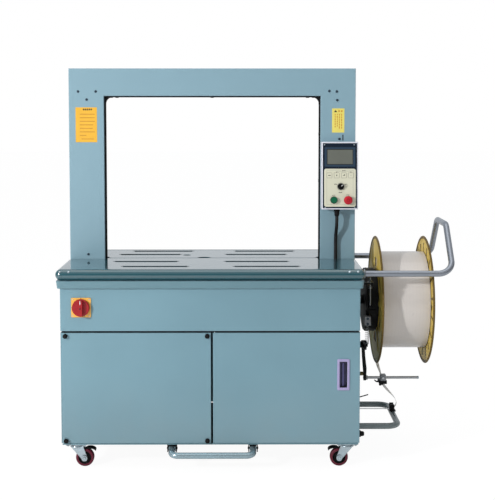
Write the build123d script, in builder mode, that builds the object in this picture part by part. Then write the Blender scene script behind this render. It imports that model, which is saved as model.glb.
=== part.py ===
from build123d import *
import os
from math import radians, sin, cos

os.makedirs("parts", exist_ok=True)

# Arch strapping machine with table, cabinet on casters and a side strap reel.
# Millimetres. x to the operator's right, y away from the operator, z up, z = 0 floor.
# Pieces are drawn about the middle of the cabinet and moved at the end, so that
# the origin of the written files is the middle of the whole footprint.
CX, CY = 165.0, -29.5

# cabinet
CAB_X = 529.5            # half width over the panels
CAB_F, CAB_R = -290.0, 270.0
PAN_Z = 88.0             # underside of the base pan
DOOR_Z0, DOOR_Z1 = 94.5, 491.0
UPPER_Z0, UPPER_Z1 = 498.0, 652.5
SHEET = 2.5
DECK_Z = 636.0           # top of the inner deck
# table
TOP = 717.0
RIM_R = 20.0             # radius of the rolled rim
TAB_X = 526.0            # half width to the rim's centre line
TAB_F, TAB_R = -282.0, 262.0
SLOT_F, SLOT_R = 7.5, 15.5
# arch
ARCH_L, ARCH_RT, ARCH_TOP = -535.0, 537.0, 1431.0
OPEN_L, OPEN_RT, OPEN_TOP = -399.0, 401.0, 1323.5
ARCH_F, ARCH_B, ARCH_MID = -9.0, 40.0, 15.5
TRACK = 5.0
# reel
REEL_Z = 561.0
REEL_R, COIL_R, CORE_R = 240.0, 181.0, 100.0
FL_L, FL_R = 616.0, 798.0
SHAFT_R, RUN = 10.0, 0.05
# tubes
TUBE = 11.0
HANDLE_X, HANDLE_Z, HANDLE_TOP = 865.0, 694.0, 855.0
# casters
WHEEL_R, TRAIL = 32.5, 28.0
CASTERS = {"front_left": (-480.0, -245.0, 1), "front_right": (488.0, -245.0, -1),
           "rear_left": (-480.0, 225.0, 1), "rear_right": (488.0, 225.0, -1)}
# strap
STRAP_W, STRAP_T = 12.0, 0.8

HOME = Location((-CX, -CY, 0))
written = []


def slab(x0, x1, y0, y1, z0, z1, mode=Mode.ADD):
    """A block between two corners."""
    with Locations(((x0 + x1) / 2, (y0 + y1) / 2, (z0 + z1) / 2)):
        Box(x1 - x0, y1 - y0, z1 - z0, mode=mode)


def rod(origin, along, radius, length, mode=Mode.ADD):
    """A round bar from a point, in a direction."""
    with BuildSketch(Plane(origin=origin, z_dir=along)) as section:
        Circle(radius)
    extrude(section.sketch, amount=length, mode=mode)


def turned(origin, along, points, mode=Mode.ADD):
    """A turned shape from (radius, height) points about an axis."""
    along = Vector(*along)
    across = (Vector(0, 0, 1) if abs(along.Z) < 0.5 else Vector(1, 0, 0)).cross(along).normalized()
    with BuildSketch(Plane(origin=origin, x_dir=along.cross(across), z_dir=across)) as section:
        with BuildLine():
            Polyline(*points, close=True)
        make_face()
    revolve(section.sketch, axis=Axis(origin, tuple(along)), revolution_arc=360, mode=mode)


def upright(y):
    """A drawing plane facing the operator, at depth y."""
    return Plane(origin=(0, y, 0), x_dir=(1, 0, 0), z_dir=(0, -1, 0))


def bent_tube(points, radii, outer, inner):
    """A round tube along a path with rounded corners."""
    with BuildLine() as path:
        FilletPolyline(*points, radius=radii)
    with BuildSketch(Plane(origin=path.line @ 0, z_dir=path.line % 0)) as section:
        Circle(outer)
        if inner:
            Circle(inner, mode=Mode.SUBTRACT)
    sweep(section.sketch, path=path.line)


def write(piece, label):
    piece.part.label = label
    export_step(piece.part.moved(HOME), "parts/" + label + ".step")
    written.append(piece.part.moved(HOME))


# ---------------------------------------------------------------- base and frame
with BuildPart() as cabinet_frame:
    # folded base pan with the welded corner angles and middle rails
    slab(-524, 524, -284, 264, PAN_Z, PAN_Z + 4)
    fillet(cabinet_frame.edges().filter_by(Axis.Z), 4)
    for sx in (-1, 1):
        for fy, by in ((-282, -252), (262, 232)):
            y0, y1 = min(fy, by), max(fy, by)
            slab(min(sx * 494, sx * 524), max(sx * 494, sx * 524), y0, y1, 92, 632)
            # hollow side of the angle looks into the cabinet
            if fy < 0:
                slab(min(sx * 493, sx * 520), max(sx * 493, sx * 520), fy + 4, by + 1, 92, 633, Mode.SUBTRACT)
            else:
                slab(min(sx * 493, sx * 520), max(sx * 493, sx * 520), by - 1, fy - 4, 92, 633, Mode.SUBTRACT)
    slab(-494, 494, -282, -262, 501, 521)
    slab(-494, 494, 242, 262, 501, 521)
    slab(-524, -504, -252, 232, 501, 521)
    slab(504, 524, -252, 232, 501, 521)
write(cabinet_frame, "cabinet_frame")

with BuildPart() as upper_housing:
    with BuildSketch(Plane.XY.offset(UPPER_Z0)):
        with Locations((0, (CAB_F + CAB_R) / 2)):
            RectangleRounded(2 * CAB_X, CAB_R - CAB_F, 3)
    extrude(amount=UPPER_Z1 - UPPER_Z0)
    with BuildSketch(Plane.XY.offset(650)):
        with Locations((0, -10)):
            RectangleRounded(2 * 538, 2 * 288.5, 8)
    with BuildSketch(Plane.XY.offset(677)):
        with Locations((0, -10)):
            RectangleRounded(2 * 542, 2 * 292, 12)
    loft()
    slab(-CAB_X + SHEET, CAB_X - SHEET, CAB_F + SHEET, CAB_R - SHEET, 490, 674.5, Mode.SUBTRACT)
    slab(-TAB_X, TAB_X, TAB_F, TAB_R, 660, 690, Mode.SUBTRACT)
    # lower-guard, strap, switch and bracket pass-throughs are drilled where they fall
    rod((-455, -295, 582), (0, 1, 0), 11, 12, Mode.SUBTRACT)
write(upper_housing, "upper_housing")

with BuildPart() as deck_plate:
    slab(-527, 527, -287.5, 267.5, 632, DECK_Z)
    slab(-110, 122, -60, 90, 630, 640, Mode.SUBTRACT)
    rod((463.8, -18, 630), (0, 0, 1), 8, 10, Mode.SUBTRACT)
write(deck_plate, "deck_plate")

with BuildPart() as left_side_panel:
    slab(-CAB_X, -CAB_X + 2, -285.5, 267, DOOR_Z0, DOOR_Z1)
    slab(-CAB_X + 2, -516, -285.5, -284, DOOR_Z0, DOOR_Z1)
    for z in (180, 210, 240, 270, 300):
        slab(-CAB_X - 1, -CAB_X + 3, -60, 60, z, z + 8, Mode.SUBTRACT)
write(left_side_panel, "left_side_panel")

with BuildPart() as right_side_panel:
    slab(CAB_X - 2, CAB_X, -285.5, 267, DOOR_Z0, DOOR_Z1)
    slab(512, CAB_X - 2, -285.5, -284, DOOR_Z0, DOOR_Z1)
    slab(CAB_X - 3, CAB_X + 1, 10, 30, 130, 137, Mode.SUBTRACT)
write(right_side_panel, "right_side_panel")

with BuildPart() as rear_panel:
    slab(-CAB_X, CAB_X, 267, 270, DOOR_Z0, DOOR_Z1)
    for z in (380, 400, 420, 440):
        for x in (-250, 250):
            slab(x - 90, x + 90, 266, 271, z, z + 7, Mode.SUBTRACT)
write(rear_panel, "rear_panel")

with BuildPart() as front_left_panel:
    slab(-523, 2, CAB_F, CAB_F + 4, DOOR_Z0, DOOR_Z1)
    fillet(front_left_panel.faces().sort_by(Axis.Y)[0].edges(), 1.5)
    for x in (-512, -11):
        for z in (104, 480):
            rod((x, -292, z), (0, 1, 0), 3.2, 10, Mode.SUBTRACT)
write(front_left_panel, "front_left_panel")

with BuildPart() as panel_knobs:
    for x in (-512, -11):
        for z in (104, 480):
            turned((x, CAB_F, z), (0, -1, 0), [(0, -6), (3, -6), (3, 0), (8.2, 0), (8.2, 8), (6.5, 10.5), (0, 11.5)])
write(panel_knobs, "panel_knobs")

# ---------------------------------------------------------------- access door
HX, HY = 15.0, -281.0
with BuildPart() as access_door:
    slab(9, CAB_X, CAB_F, CAB_F + 4, DOOR_Z0, DOOR_Z1)
    fillet(access_door.faces().sort_by(Axis.Y)[0].edges(), 1.5)
    slab(453, 489, CAB_F - 1, CAB_F + 5, 291, 391, Mode.SUBTRACT)
    for z0, z1 in ((98, 122), (466, 490)):
        slab(HX - 4, HX + 12, CAB_F + 4, HY, z0, z1)
        rod((HX, HY, z0), (0, 0, 1), 5, z1 - z0)
        rod((HX, HY, z0 - 1), (0, 0, 1), 3 + RUN, z1 - z0 + 2, Mode.SUBTRACT)
write(access_door, "access_door")

with BuildPart() as door_handle:
    slab(449, 493, CAB_F - 3, CAB_F, 285, 397)
    fillet(door_handle.edges().filter_by(Axis.Y), 7)
    slab(454, 488, CAB_F, -274, 292, 390)
    slab(458, 484, CAB_F - 5, -276, 296, 386, Mode.SUBTRACT)
    # half-closed pocket with a turning latch bar
    slab(458, 484, CAB_F - 2, CAB_F + 1, 296, 330)
write(door_handle, "door_handle")

# ---------------------------------------------------------------- table
BEADS_F = [(-200, -213), (200, -213), (-243, -84), (166, -84)]
BEADS_R = [(-200, 214), (200, 214), (-243, 114), (166, 114)]


def rim_profile(plane):
    """Half-round sheet section, radius outwards along the plane's x."""
    with BuildSketch(plane) as section:
        with BuildLine():
            ThreePointArc((0, RIM_R), (RIM_R, 0), (0, -RIM_R))
            Line((0, -RIM_R), (0, -RIM_R + SHEET))
            ThreePointArc((0, -RIM_R + SHEET), (RIM_R - SHEET, 0), (0, RIM_R - SHEET))
            Line((0, RIM_R - SHEET), (0, RIM_R))
        make_face()
    return section.sketch


RIM_Z = TOP - RIM_R


def rim_side(x, y0, y1):
    sign = 1 if x > 0 else -1
    if sign > 0:
        section = rim_profile(Plane(origin=(x, y1, RIM_Z), x_dir=(1, 0, 0), z_dir=(0, -1, 0)))
    else:
        section = rim_profile(Plane(origin=(x, y0, RIM_Z), x_dir=(-1, 0, 0), z_dir=(0, 1, 0)))
    extrude(section, amount=y1 - y0)


def rim_end(y, outward):
    if outward < 0:
        section = rim_profile(Plane(origin=(TAB_X, y, RIM_Z), x_dir=(0, -1, 0), z_dir=(-1, 0, 0)))
    else:
        section = rim_profile(Plane(origin=(-TAB_X, y, RIM_Z), x_dir=(0, 1, 0), z_dir=(1, 0, 0)))
    extrude(section, amount=2 * TAB_X)


def rim_corner(x, y, start, turn):
    """Quarter turn of the rim about a corner of the table."""
    section = rim_profile(Plane(origin=(x, y, RIM_Z), x_dir=start, z_dir=Vector(*start).cross(Vector(0, 0, 1))))
    revolve(section, axis=Axis((x, y, RIM_Z), (0, 0, turn)), revolution_arc=90)


with BuildPart() as front_table:
    slab(-TAB_X, TAB_X, TAB_F, -12, TOP - SHEET, TOP)
    slab(-396, 398, -13, SLOT_F, TOP - SHEET, TOP)
    slab(-396, 398, SLOT_F - SHEET, SLOT_F, TOP - 14, TOP)
    rim_end(TAB_F, -1)
    rim_side(TAB_X, TAB_F, -13)
    rim_side(-TAB_X, TAB_F, -13)
    rim_corner(TAB_X, TAB_F, (0, -1, 0), 1)
    rim_corner(-TAB_X, TAB_F, (-1, 0, 0), 1)
    slab(453, 475, -30, 0, TOP - 5, TOP + 5, Mode.SUBTRACT)
    # seats for the handle tubes
    with BuildSketch(Plane.XY.offset(TOP)):
        with Locations(*BEADS_F):
            SlotOverall(229, 9)
    extrude(amount=2.2, taper=25)
write(front_table, "front_table")

with BuildPart() as rear_deck:
    slab(-TAB_X, TAB_X, 42, TAB_R, TOP - SHEET, TOP)
    slab(-505, 505, 30, 257.5, TOP - 10, TOP + 10, Mode.SUBTRACT)
    rim_end(TAB_R, 1)
    rim_side(TAB_X, 43, TAB_R)
    rim_side(-TAB_X, 43, TAB_R)
    rim_corner(TAB_X, TAB_R, (1, 0, 0), 1)
    rim_corner(-TAB_X, TAB_R, (0, 1, 0), 1)
    # inner edge flanges that carry the hinge pins
    slab(-510, -505, 42, 257.5, 690, TOP)
    slab(505, 510, 42, 257.5, 690, TOP)
write(rear_deck, "rear_deck")

RH_Y, RH_Z = 250.0, 711.0
with BuildPart() as rear_table:
    slab(-394, 396, SLOT_R, 248, TOP - SHEET, TOP)
    slab(-502, 502, 44, 248, TOP - SHEET, TOP)
    with BuildSketch(Plane.XY.offset(TOP - SHEET - 1)):
        with Locations((-394, SLOT_R), (396, SLOT_R)):
            Rectangle(36, 36)
        with Locations((-376, SLOT_R + 18), (378, SLOT_R + 18)):
            Circle(18, mode=Mode.SUBTRACT)
    extrude(amount=SHEET + 2, mode=Mode.SUBTRACT)
    slab(-370, 372, SLOT_R, SLOT_R + SHEET, TOP - 13, TOP - SHEET)
    rod((-498, RH_Y, RH_Z), (1, 0, 0), 5.5, 996)
    rod((-32, SLOT_R, TOP - 20), (0, 0, 1), 25, 30, Mode.SUBTRACT)
    with BuildSketch(Plane.XY.offset(TOP - 5)):
        with Locations((-101, 95)):
            Ellipse(15, 14)
    extrude(amount=10, mode=Mode.SUBTRACT)
    rod((-499, RH_Y, RH_Z), (1, 0, 0), 2.5 + RUN, 33, Mode.SUBTRACT)
    rod((499, RH_Y, RH_Z), (-1, 0, 0), 2.5 + RUN, 33, Mode.SUBTRACT)
    with BuildSketch(Plane.XY.offset(TOP)):
        with Locations(*BEADS_R):
            SlotOverall(229, 9)
    extrude(amount=2.2, taper=25)
write(rear_table, "rear_table")

with BuildPart() as hinge_pins:
    slab(8, 26, -282, -276, 494, 498)
    slab(8, 26, -276, -262, 494, 501)
    rod((HX, HY, 468), (0, 0, 1), 3, 26)
    turned((HX, HY, 92), (0, 0, 1), [(0, 0), (5, 0), (5, 2.4), (3, 2.4), (3, 30), (0, 30)])
    rod((-505, RH_Y, RH_Z), (1, 0, 0), 2.5, 35)
    rod((505, RH_Y, RH_Z), (-1, 0, 0), 2.5, 35)
write(hinge_pins, "hinge_pins")

# ---------------------------------------------------------------- arch


def arch_shape(inset, bottom):
    """Outline of the arch, drawn on a plane facing the operator."""
    i = inset
    t = TRACK
    with BuildLine() as outline:
        Polyline((ARCH_L + i, ARCH_TOP - i), (ARCH_RT - i, ARCH_TOP - i), (ARCH_RT - i, 679),
                 (525 - i, 679), (525 - i, bottom), (OPEN_RT + t + i, bottom), (OPEN_RT + t + i, OPEN_TOP + t + i),
                 (OPEN_L - t - i, OPEN_TOP + t + i), (OPEN_L - t - i, bottom), (-525 + i, bottom),
                 (-525 + i, 679), (ARCH_L + i, 679), close=True)
    make_face(outline.edges())


with BuildPart() as arch_front_cover:
    with BuildSketch(upright(ARCH_MID)):
        arch_shape(0, DECK_Z)
    extrude(amount=ARCH_MID - ARCH_F)
    front_edges = arch_front_cover.faces().sort_by(Axis.Y)[0].edges()
    fillet(front_edges, 2)
    with BuildSketch(upright(ARCH_MID)):
        arch_shape(2, DECK_Z + 2)
    extrude(amount=ARCH_MID - ARCH_F - 2.2, mode=Mode.SUBTRACT)
write(arch_front_cover, "arch_front_cover")

with BuildPart() as arch_rear_cover:
    with BuildSketch(upright(ARCH_B)):
        arch_shape(0, DECK_Z)
    extrude(amount=ARCH_B - ARCH_MID)
    rear_edges = arch_rear_cover.faces().sort_by(Axis.Y)[-1].edges()
    fillet(rear_edges, 2)
    with BuildSketch(upright(ARCH_B - 2.2)):
        arch_shape(2, DECK_Z + 2)
    extrude(amount=ARCH_B - ARCH_MID - 2.2, mode=Mode.SUBTRACT)
write(arch_rear_cover, "arch_rear_cover")

with BuildPart() as arch_strap_track:
    with BuildSketch(upright(28)):
        with BuildLine():
            Polyline((OPEN_L - TRACK, DECK_Z), (OPEN_L - TRACK, OPEN_TOP + TRACK), (OPEN_RT + TRACK, OPEN_TOP + TRACK),
                     (OPEN_RT + TRACK, DECK_Z), (OPEN_RT, DECK_Z), (OPEN_RT, OPEN_TOP), (OPEN_L, OPEN_TOP),
                     (OPEN_L, DECK_Z), close=True)
        make_face()
    extrude(amount=25)
    inner_corners = arch_strap_track.edges().filter_by(Axis.Y).filter_by(lambda e: abs(e.center().Z - OPEN_TOP) < 0.1)
    fillet(inner_corners, 24)
    # groove that holds the strap
    with BuildSketch(upright(22.5)):
        with BuildLine():
            Polyline((OPEN_L - 3, DECK_Z + 4), (OPEN_L - 3, OPEN_TOP + 3), (OPEN_RT + 3, OPEN_TOP + 3),
                     (OPEN_RT + 3, DECK_Z + 4), (OPEN_RT - 2, DECK_Z + 4), (OPEN_RT - 2, OPEN_TOP - 2), (OPEN_L + 2, OPEN_TOP - 2),
                     (OPEN_L + 2, DECK_Z + 4), close=True)
        make_face()
        with Locations((OPEN_L + 12, OPEN_TOP - 12), (OPEN_RT - 12, OPEN_TOP - 12)):
            Rectangle(30, 30, mode=Mode.SUBTRACT)
    extrude(amount=14, mode=Mode.SUBTRACT)
    # lower run under the table's slot
    slab(OPEN_L, OPEN_RT, 8.5, 14.5, 700, 706)
write(arch_strap_track, "arch_strap_track")

# ---------------------------------------------------------------- control box
FACE_O = (474.5, -67.5, 1033.5)
SLOPE = (0.0, 15.0 / 249.45, 249.0 / 249.45)
OUT = (0.0, -SLOPE[2], SLOPE[1])
FACE = Plane(origin=FACE_O, x_dir=(1, 0, 0), z_dir=OUT)


def on_face(u, v, lift=0.0):
    return (FACE_O[0] + u, FACE_O[1] + SLOPE[1] * v + OUT[1] * lift, FACE_O[2] + SLOPE[2] * v + OUT[2] * lift)


START_UV, STOP_UV, TURN_UV = (-22.4, -90.0), (29.4, -90.5), (2.9, -40.0)
with BuildPart() as control_box:
    with BuildSketch(Plane(origin=(407, 0, 0), x_dir=(0, 1, 0), z_dir=(1, 0, 0))):
        with BuildLine():
            Polyline((ARCH_F, 909), (-75, 909), (-60, 1158), (ARCH_F, 1158), close=True)
        make_face()
    extrude(amount=135)
    fillet(control_box.edges().filter_by(lambda e: abs(e.center().Y) > 40 and abs(e.tangent_at(0).Z) > 0.9), 3)
    with BuildSketch(Plane(origin=(409, 0, 0), x_dir=(0, 1, 0), z_dir=(1, 0, 0))):
        with BuildLine():
            Polyline((ARCH_F - 2, 911), (-66, 911), (-51, 1156), (ARCH_F - 2, 1156), close=True)
        make_face()
    extrude(amount=131, mode=Mode.SUBTRACT)
    # front recess for the fascia, open to the inside
    with BuildSketch(FACE.offset(-3)):
        Rectangle(127, 241)
    extrude(amount=10, mode=Mode.SUBTRACT)
    with BuildSketch(FACE.offset(-20)):
        Rectangle(115, 229)
    extrude(amount=30, mode=Mode.SUBTRACT)
    rod((466, -42, 905), (0, 0, 1), 8, 10, Mode.SUBTRACT)
write(control_box, "control_box")

with BuildPart() as control_fascia:
    with BuildSketch(FACE.offset(-3)):
        Rectangle(126.6, 240.6)
        with Locations(START_UV, STOP_UV):
            Circle(8 + RUN, mode=Mode.SUBTRACT)
        with Locations(TURN_UV):
            Circle(5 + RUN, mode=Mode.SUBTRACT)
    extrude(amount=2.5)
write(control_fascia, "control_fascia")

with BuildPart() as control_panel:
    with BuildSketch(FACE.offset(-0.5)):
        with Locations((0, -44.5)):
            RectangleRounded(117, 141, 8)
        with Locations(START_UV, STOP_UV):
            Circle(9, mode=Mode.SUBTRACT)
        with Locations(TURN_UV):
            Circle(6, mode=Mode.SUBTRACT)
    extrude(amount=1.2)
    with BuildSketch(FACE.offset(0.7)):
        with Locations((-39.2, 1.3), (-12, 1.3), (14.9, 1.3), (40.6, 1.3)):
            RectangleRounded(20, 20, 3)
    extrude(amount=0.8)
write(control_panel, "control_panel")

with BuildPart() as lcd_window:
    with BuildSketch(FACE.offset(-0.5)):
        with Locations((0, 69.5)):
            RectangleRounded(116, 75, 4)
    extrude(amount=4.0)
    with BuildSketch(FACE.offset(2.2)):
        with Locations((0, 69.5)):
            Rectangle(98, 58)
    extrude(amount=5, mode=Mode.SUBTRACT)
write(lcd_window, "lcd_window")

with BuildPart() as machine_screws:
    # pan heads on the arch cover
    for x, z in ((-434, 1345), (-468, 1315), (-467, 734), (438, 1347), (468, 1313), (477, 1168), (466, 1345), (-500, 1345)):
        turned((x, ARCH_F, z), (0, -1, 0), [(0, 0), (4.5, 0), (4.3, 1.6), (3.0, 2.8), (0, 3.2)])
    # heads along the rolled rim
    for x in (-528, -497, 490.6, 519.7):
        turned((x, TAB_F - 16, RIM_Z + 12), (0, -0.8, 0.6), [(0, 0), (4.2, 0), (4.0, 1.4), (2.8, 2.4), (0, 2.8)])
    for u, v in ((-57, 114.2), (52.6, 114.2), (-54.6, -118.3), (54.6, -118.3)):
        turned(on_face(u, v, -0.5), OUT, [(0, 0), (2.2, 0), (2.2, 0.9), (1.2, 1.6), (0, 1.7)])
write(machine_screws, "machine_screws")


def push_button(uv, head):
    u, v = uv
    turned(on_face(u, v, 0), OUT, head)


with BuildPart() as start_button:
    push_button(START_UV, [(0, -16), (11, -16), (11, -14), (8, -14), (8, 7), (11.5, 7), (11.5, 12), (10.4, 13.4), (0, 13.9)])
write(start_button, "start_button")

with BuildPart() as stop_button:
    push_button(STOP_UV, [(0, -16), (11, -16), (11, -14), (8, -14), (8, 8), (12, 8), (16, 12), (16, 15.5), (13.5, 18.5), (8, 20.2), (0, 20.8)])
write(stop_button, "stop_button")

with BuildPart() as selector_knob:
    push_button(TURN_UV, [(0, -16), (8, -16), (8, -13), (5, -13), (5, 1.2), (11.5, 1.2), (11.5, 8), (10.6, 9), (0, 9)])
    with BuildSketch(FACE.offset(9)):
        with Locations(Location(TURN_UV, -45)):
            Rectangle(6, 20)
    extrude(amount=7)
write(selector_knob, "selector_knob")

with BuildPart() as cable_gland:
    turned((466, -42, 911), (0, 0, -1), [(6.4, -6), (8, -6), (8, 2), (11, 2), (11, 10), (9.2, 12), (9.2, 24), (7.2, 30), (6.4, 30)])
    turned((463.8, -18, DECK_Z), (0, 0, -1), [(6.4, -12), (8.2, -12), (8.9, -8), (8.9, 0), (8, 0), (8, 4), (6.4, 4)])
    turned((CAB_X, -255, 118), (1, 0, 0), [(4, 0), (12, 0), (12, 7), (9, 9), (9, 15), (6, 20), (4, 20)])
write(cable_gland, "cable_glands")

with BuildPart() as control_cable:
    with BuildLine() as cable_path:
        FilletPolyline((466, -42, 905), (466, -42, 850), (463.8, -18.0, 795), (463.8, -18, DECK_Z - 3), radius=[90, 90])
    with BuildSketch(Plane(origin=cable_path.line @ 0, z_dir=cable_path.line % 0)):
        Circle(6.25)
    sweep()
write(control_cable, "control_cable")
cable_length = sum(e.length for e in cable_path.edges())
print("control cable", round(cable_length, 1), "volume check",
      round(control_cable.part.volume / (3.14159265 * 6.25 ** 2 * cable_length), 4))

# ---------------------------------------------------------------- main switch
SW = (-455.0, CAB_F, 582.0)
with BuildPart() as switch_plate:
    slab(SW[0] - 34.5, SW[0] + 34.5, CAB_F - 3, CAB_F, SW[2] - 34.5, SW[2] + 34.5)
    fillet(switch_plate.edges().filter_by(Axis.Y), 4)
    turned((SW[0], CAB_F - 3, SW[2]), (0, -1, 0), [(5 + RUN, -3), (22, -3), (22, 0), (26, 0), (26, 2), (5 + RUN, 2)])
    turned((SW[0], CAB_F - 3, SW[2]), (0, -1, 0), [(5 + RUN, -3), (10.5, -3), (10.5, -40), (5 + RUN, -40)])
    rod((SW[0], CAB_F + 10, SW[2]), (0, -1, 0), 5 + RUN, 30, Mode.SUBTRACT)
write(switch_plate, "switch_plate")

with BuildPart() as main_switch_knob:
    turned((SW[0], CAB_F - 5, SW[2]), (0, -1, 0), [(0, -30), (5, -30), (5, 0.5), (31, 0.5), (31, 7), (29, 9.5), (0, 9.5)])
    with BuildSketch(upright(CAB_F - 14.5)):
        with Locations((SW[0], SW[2])):
            RectangleRounded(15, 56, 5)
    extrude(amount=13)
write(main_switch_knob, "main_switch_knob")

# ---------------------------------------------------------------- tubes
with BuildPart() as guard_handle:
    bent_tube([(548, -243, HANDLE_Z), (HANDLE_X, -243, HANDLE_Z), (HANDLE_X, -90, HANDLE_TOP),
               (HANDLE_X, 90, HANDLE_TOP), (HANDLE_X, 243, HANDLE_Z), (548, 243, HANDLE_Z)], [55, 40, 40, 55], TUBE, TUBE - 2)
    for y in (-243, 243):
        turned((546, y, HANDLE_Z), (1, 0, 0), [(0, 0), (17, 0), (17, 3), (12, 6), (0, 6)])
write(guard_handle, "guard_handle")

with BuildPart() as lower_guard_tube:
    bent_tube([(533, -150, 115), (689, -150, 115), (689, 150, 115), (533, 150, 115)], [45, 45], TUBE, TUBE - 2)
    for y in (-150, 150):
        turned((CAB_X, y, 115), (1, 0, 0), [(0, 0), (24, 0), (24, 4), (13, 4), (13, 10), (0, 10)])
write(lower_guard_tube, "lower_guard_tube")

# foot bar and its two clevises
FB_Y, FB_Z, FB_L, FB_R = -262.0, 69.0, -138.0, 151.0
with BuildPart() as foot_bar:
    bent_tube([(FB_L, FB_Y, FB_Z), (FB_L, -330, 62), (FB_R, -330, 62), (FB_R, FB_Y, FB_Z)], [26, 26], TUBE, 0)
    for x in (FB_L, FB_R):
        rod((x - 12, FB_Y, FB_Z), (1, 0, 0), 12.5, 24)
    for x in (FB_L, FB_R):
        rod((x - 14, FB_Y, FB_Z), (1, 0, 0), 4 + RUN, 28, Mode.SUBTRACT)
write(foot_bar, "foot_bar")

with BuildPart() as foot_bar_brackets:
    for x in (FB_L, FB_R):
        slab(x - 17, x + 17, -282, -242, 84, PAN_Z)
        slab(x - 17, x - 13.5, -276, -248, 58, 84)
        slab(x + 13.5, x + 17, -276, -248, 58, 84)
        rod((x - 19, FB_Y, FB_Z), (1, 0, 0), 4, 38)
write(foot_bar_brackets, "foot_bar_brackets")

# ---------------------------------------------------------------- casters
with BuildPart() as caster_plates:
    for wx, wy, sx in CASTERS.values():
        slab(wx - 36, wx + 36, wy - 32, wy + 32, 84, PAN_Z)
        turned((wx, wy, 84), (0, 0, -1), [(0, 0), (23, 0), (23, 4.5), (5, 4.5), (5, 14), (8, 14), (8, 18), (0, 18)])
write(caster_plates, "caster_plates")

for name, (wx, wy, sx) in CASTERS.items():
    ax = wx + sx * TRAIL
    with BuildPart() as caster_fork:
        with BuildSketch(upright(wy + 18)):
            with Locations((ax, WHEEL_R)):
                Circle(10)
            with Locations((wx + sx * 2, 74)):
                Rectangle(40, 7)
            make_hull()
        extrude(amount=36)
        with BuildSketch(Plane.XY.offset(20)):
            with Locations((wx + sx * 14, wy)):
                Rectangle(120, 30)
        extrude(amount=50.5, mode=Mode.SUBTRACT)
        rod((wx, wy, 70.5), (0, 0, 1), 23, 8)
        rod((wx, wy, 60), (0, 0, 1), 5 + RUN, 30, Mode.SUBTRACT)
        rod((ax, wy - 21, WHEEL_R), (0, 1, 0), 4, 42)
        for side in (-1, 1):
            rod((ax, wy + side * 18, WHEEL_R), (0, side, 0), 7, 4)
    write(caster_fork, "caster_fork_" + name)
    with BuildPart() as caster_wheel:
        turned((ax, wy, WHEEL_R), (0, 1, 0),
               [(4 + RUN, -14), (9, -14), (9, -10), (20, -10), (22, -12.5), (28.5, -12.5), (32.5, -8), (32.5, 8), (28.5, 12.5),
                (22, 12.5), (20, 10), (9, 10), (9, 14), (4 + RUN, 14)])
    write(caster_wheel, "caster_wheel_" + name)

# ---------------------------------------------------------------- reel
with BuildPart() as reel_spindle:
    turned((CAB_X, 0, REEL_Z), (1, 0, 0), [(0, 5), (45, 5), (45, 11), (16, 14), (16, 30), (SHAFT_R, 30), (SHAFT_R, 308), (8, 310), (0, 310)])
write(reel_spindle, "reel_spindle")

with BuildPart() as reel_hub:
    turned((0, 0, REEL_Z), (1, 0, 0),
           [(SHAFT_R + RUN, 562), (18, 562), (18, 570), (115, 570), (115, FL_L), (18, FL_L),
            (18, 620), (CORE_R, 620), (CORE_R, 797.5), (18, 797.5), (18, 802), (SHAFT_R + RUN, 802)])
    turned((0, 0, REEL_Z), (1, 0, 0), [(18, 624), (CORE_R - 4, 624), (CORE_R - 4, 793.5), (18, 793.5)], Mode.SUBTRACT)
    turned((0, 0, REEL_Z), (1, 0, 0), [(22, 576), (109, 576), (109, 610), (22, 610)], Mode.SUBTRACT)
write(reel_hub, "reel_hub")

for label, x0, bore in (("reel_left_flange", FL_L, 18), ("reel_right_flange", FL_R, 18)):
    with BuildPart() as reel_flange:
        turned((x0, 0, REEL_Z), (1, 0, 0),
               [(bore, 0), (95, 0), (110, 0), (224, 0), (230, -3), (238, -3), (REEL_R, 0), (REEL_R, 3), (236, 6), (230, 4), (224, 3.5), (bore, 3.5)]
               if x0 == FL_R else
               [(bore, 0), (224, 0), (230, -1), (236, -3), (REEL_R, 0), (REEL_R, 3), (238, 6), (230, 6), (224, 4), (bore, 4)])
        with BuildSketch(Plane(origin=(x0 - 10, 0, REEL_Z), x_dir=(0, 1, 0), z_dir=(1, 0, 0))):
            with PolarLocations(142, 6, start_angle=30):
                SlotOverall(56, 34, rotation=90)
        extrude(amount=30, mode=Mode.SUBTRACT)
    write(reel_flange, label)

with BuildPart() as strap_coil:
    turned((0, 0, REEL_Z), (1, 0, 0), [(CORE_R + 0.3, 621.5), (COIL_R, 621.5), (COIL_R, 796.5), (CORE_R + 0.3, 796.5)])
write(strap_coil, "strap_coil")

with BuildPart() as reel_nut:
    turned((0, 0, REEL_Z), (1, 0, 0), [(SHAFT_R + RUN, 802), (34, 802), (34, 806), (25, 810), (25, 832), (21, 835), (SHAFT_R + RUN, 835)])
    slab(814, 830, -38, -20, REEL_Z - 5, REEL_Z + 5)
    slab(814, 830, 20, 38, REEL_Z - 5, REEL_Z + 5)
    fillet(reel_nut.edges().filter_by(Axis.X).filter_by(lambda e: abs(e.center().Y) > 37), 4)
write(reel_nut, "reel_nut")

# ---------------------------------------------------------------- reel brake
PIV_Y, PIV_Z = -60.0, 400.0
with BuildPart() as brake_bracket:
    slab(CAB_X, CAB_X + 5, -150, 62, 498, 647)
    slab(CAB_X, CAB_X + 5, -150, 0, 385, 498)
    fillet(brake_bracket.edges().filter_by(Axis.X), 6)
    rod((CAB_X + 5, PIV_Y, PIV_Z), (1, 0, 0), 6, 48)
    rod((CAB_X + 5, PIV_Y, PIV_Z), (1, 0, 0), 12, 24)
    rod((579, PIV_Y, PIV_Z), (1, 0, 0), 9, 3.5)
    slab(CAB_X + 5, 592, -138, -120, 638, 645)
    rod((583, -129, 637), (0, 0, 1), 3.3, 10, Mode.SUBTRACT)
write(brake_bracket, "brake_bracket")

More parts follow.
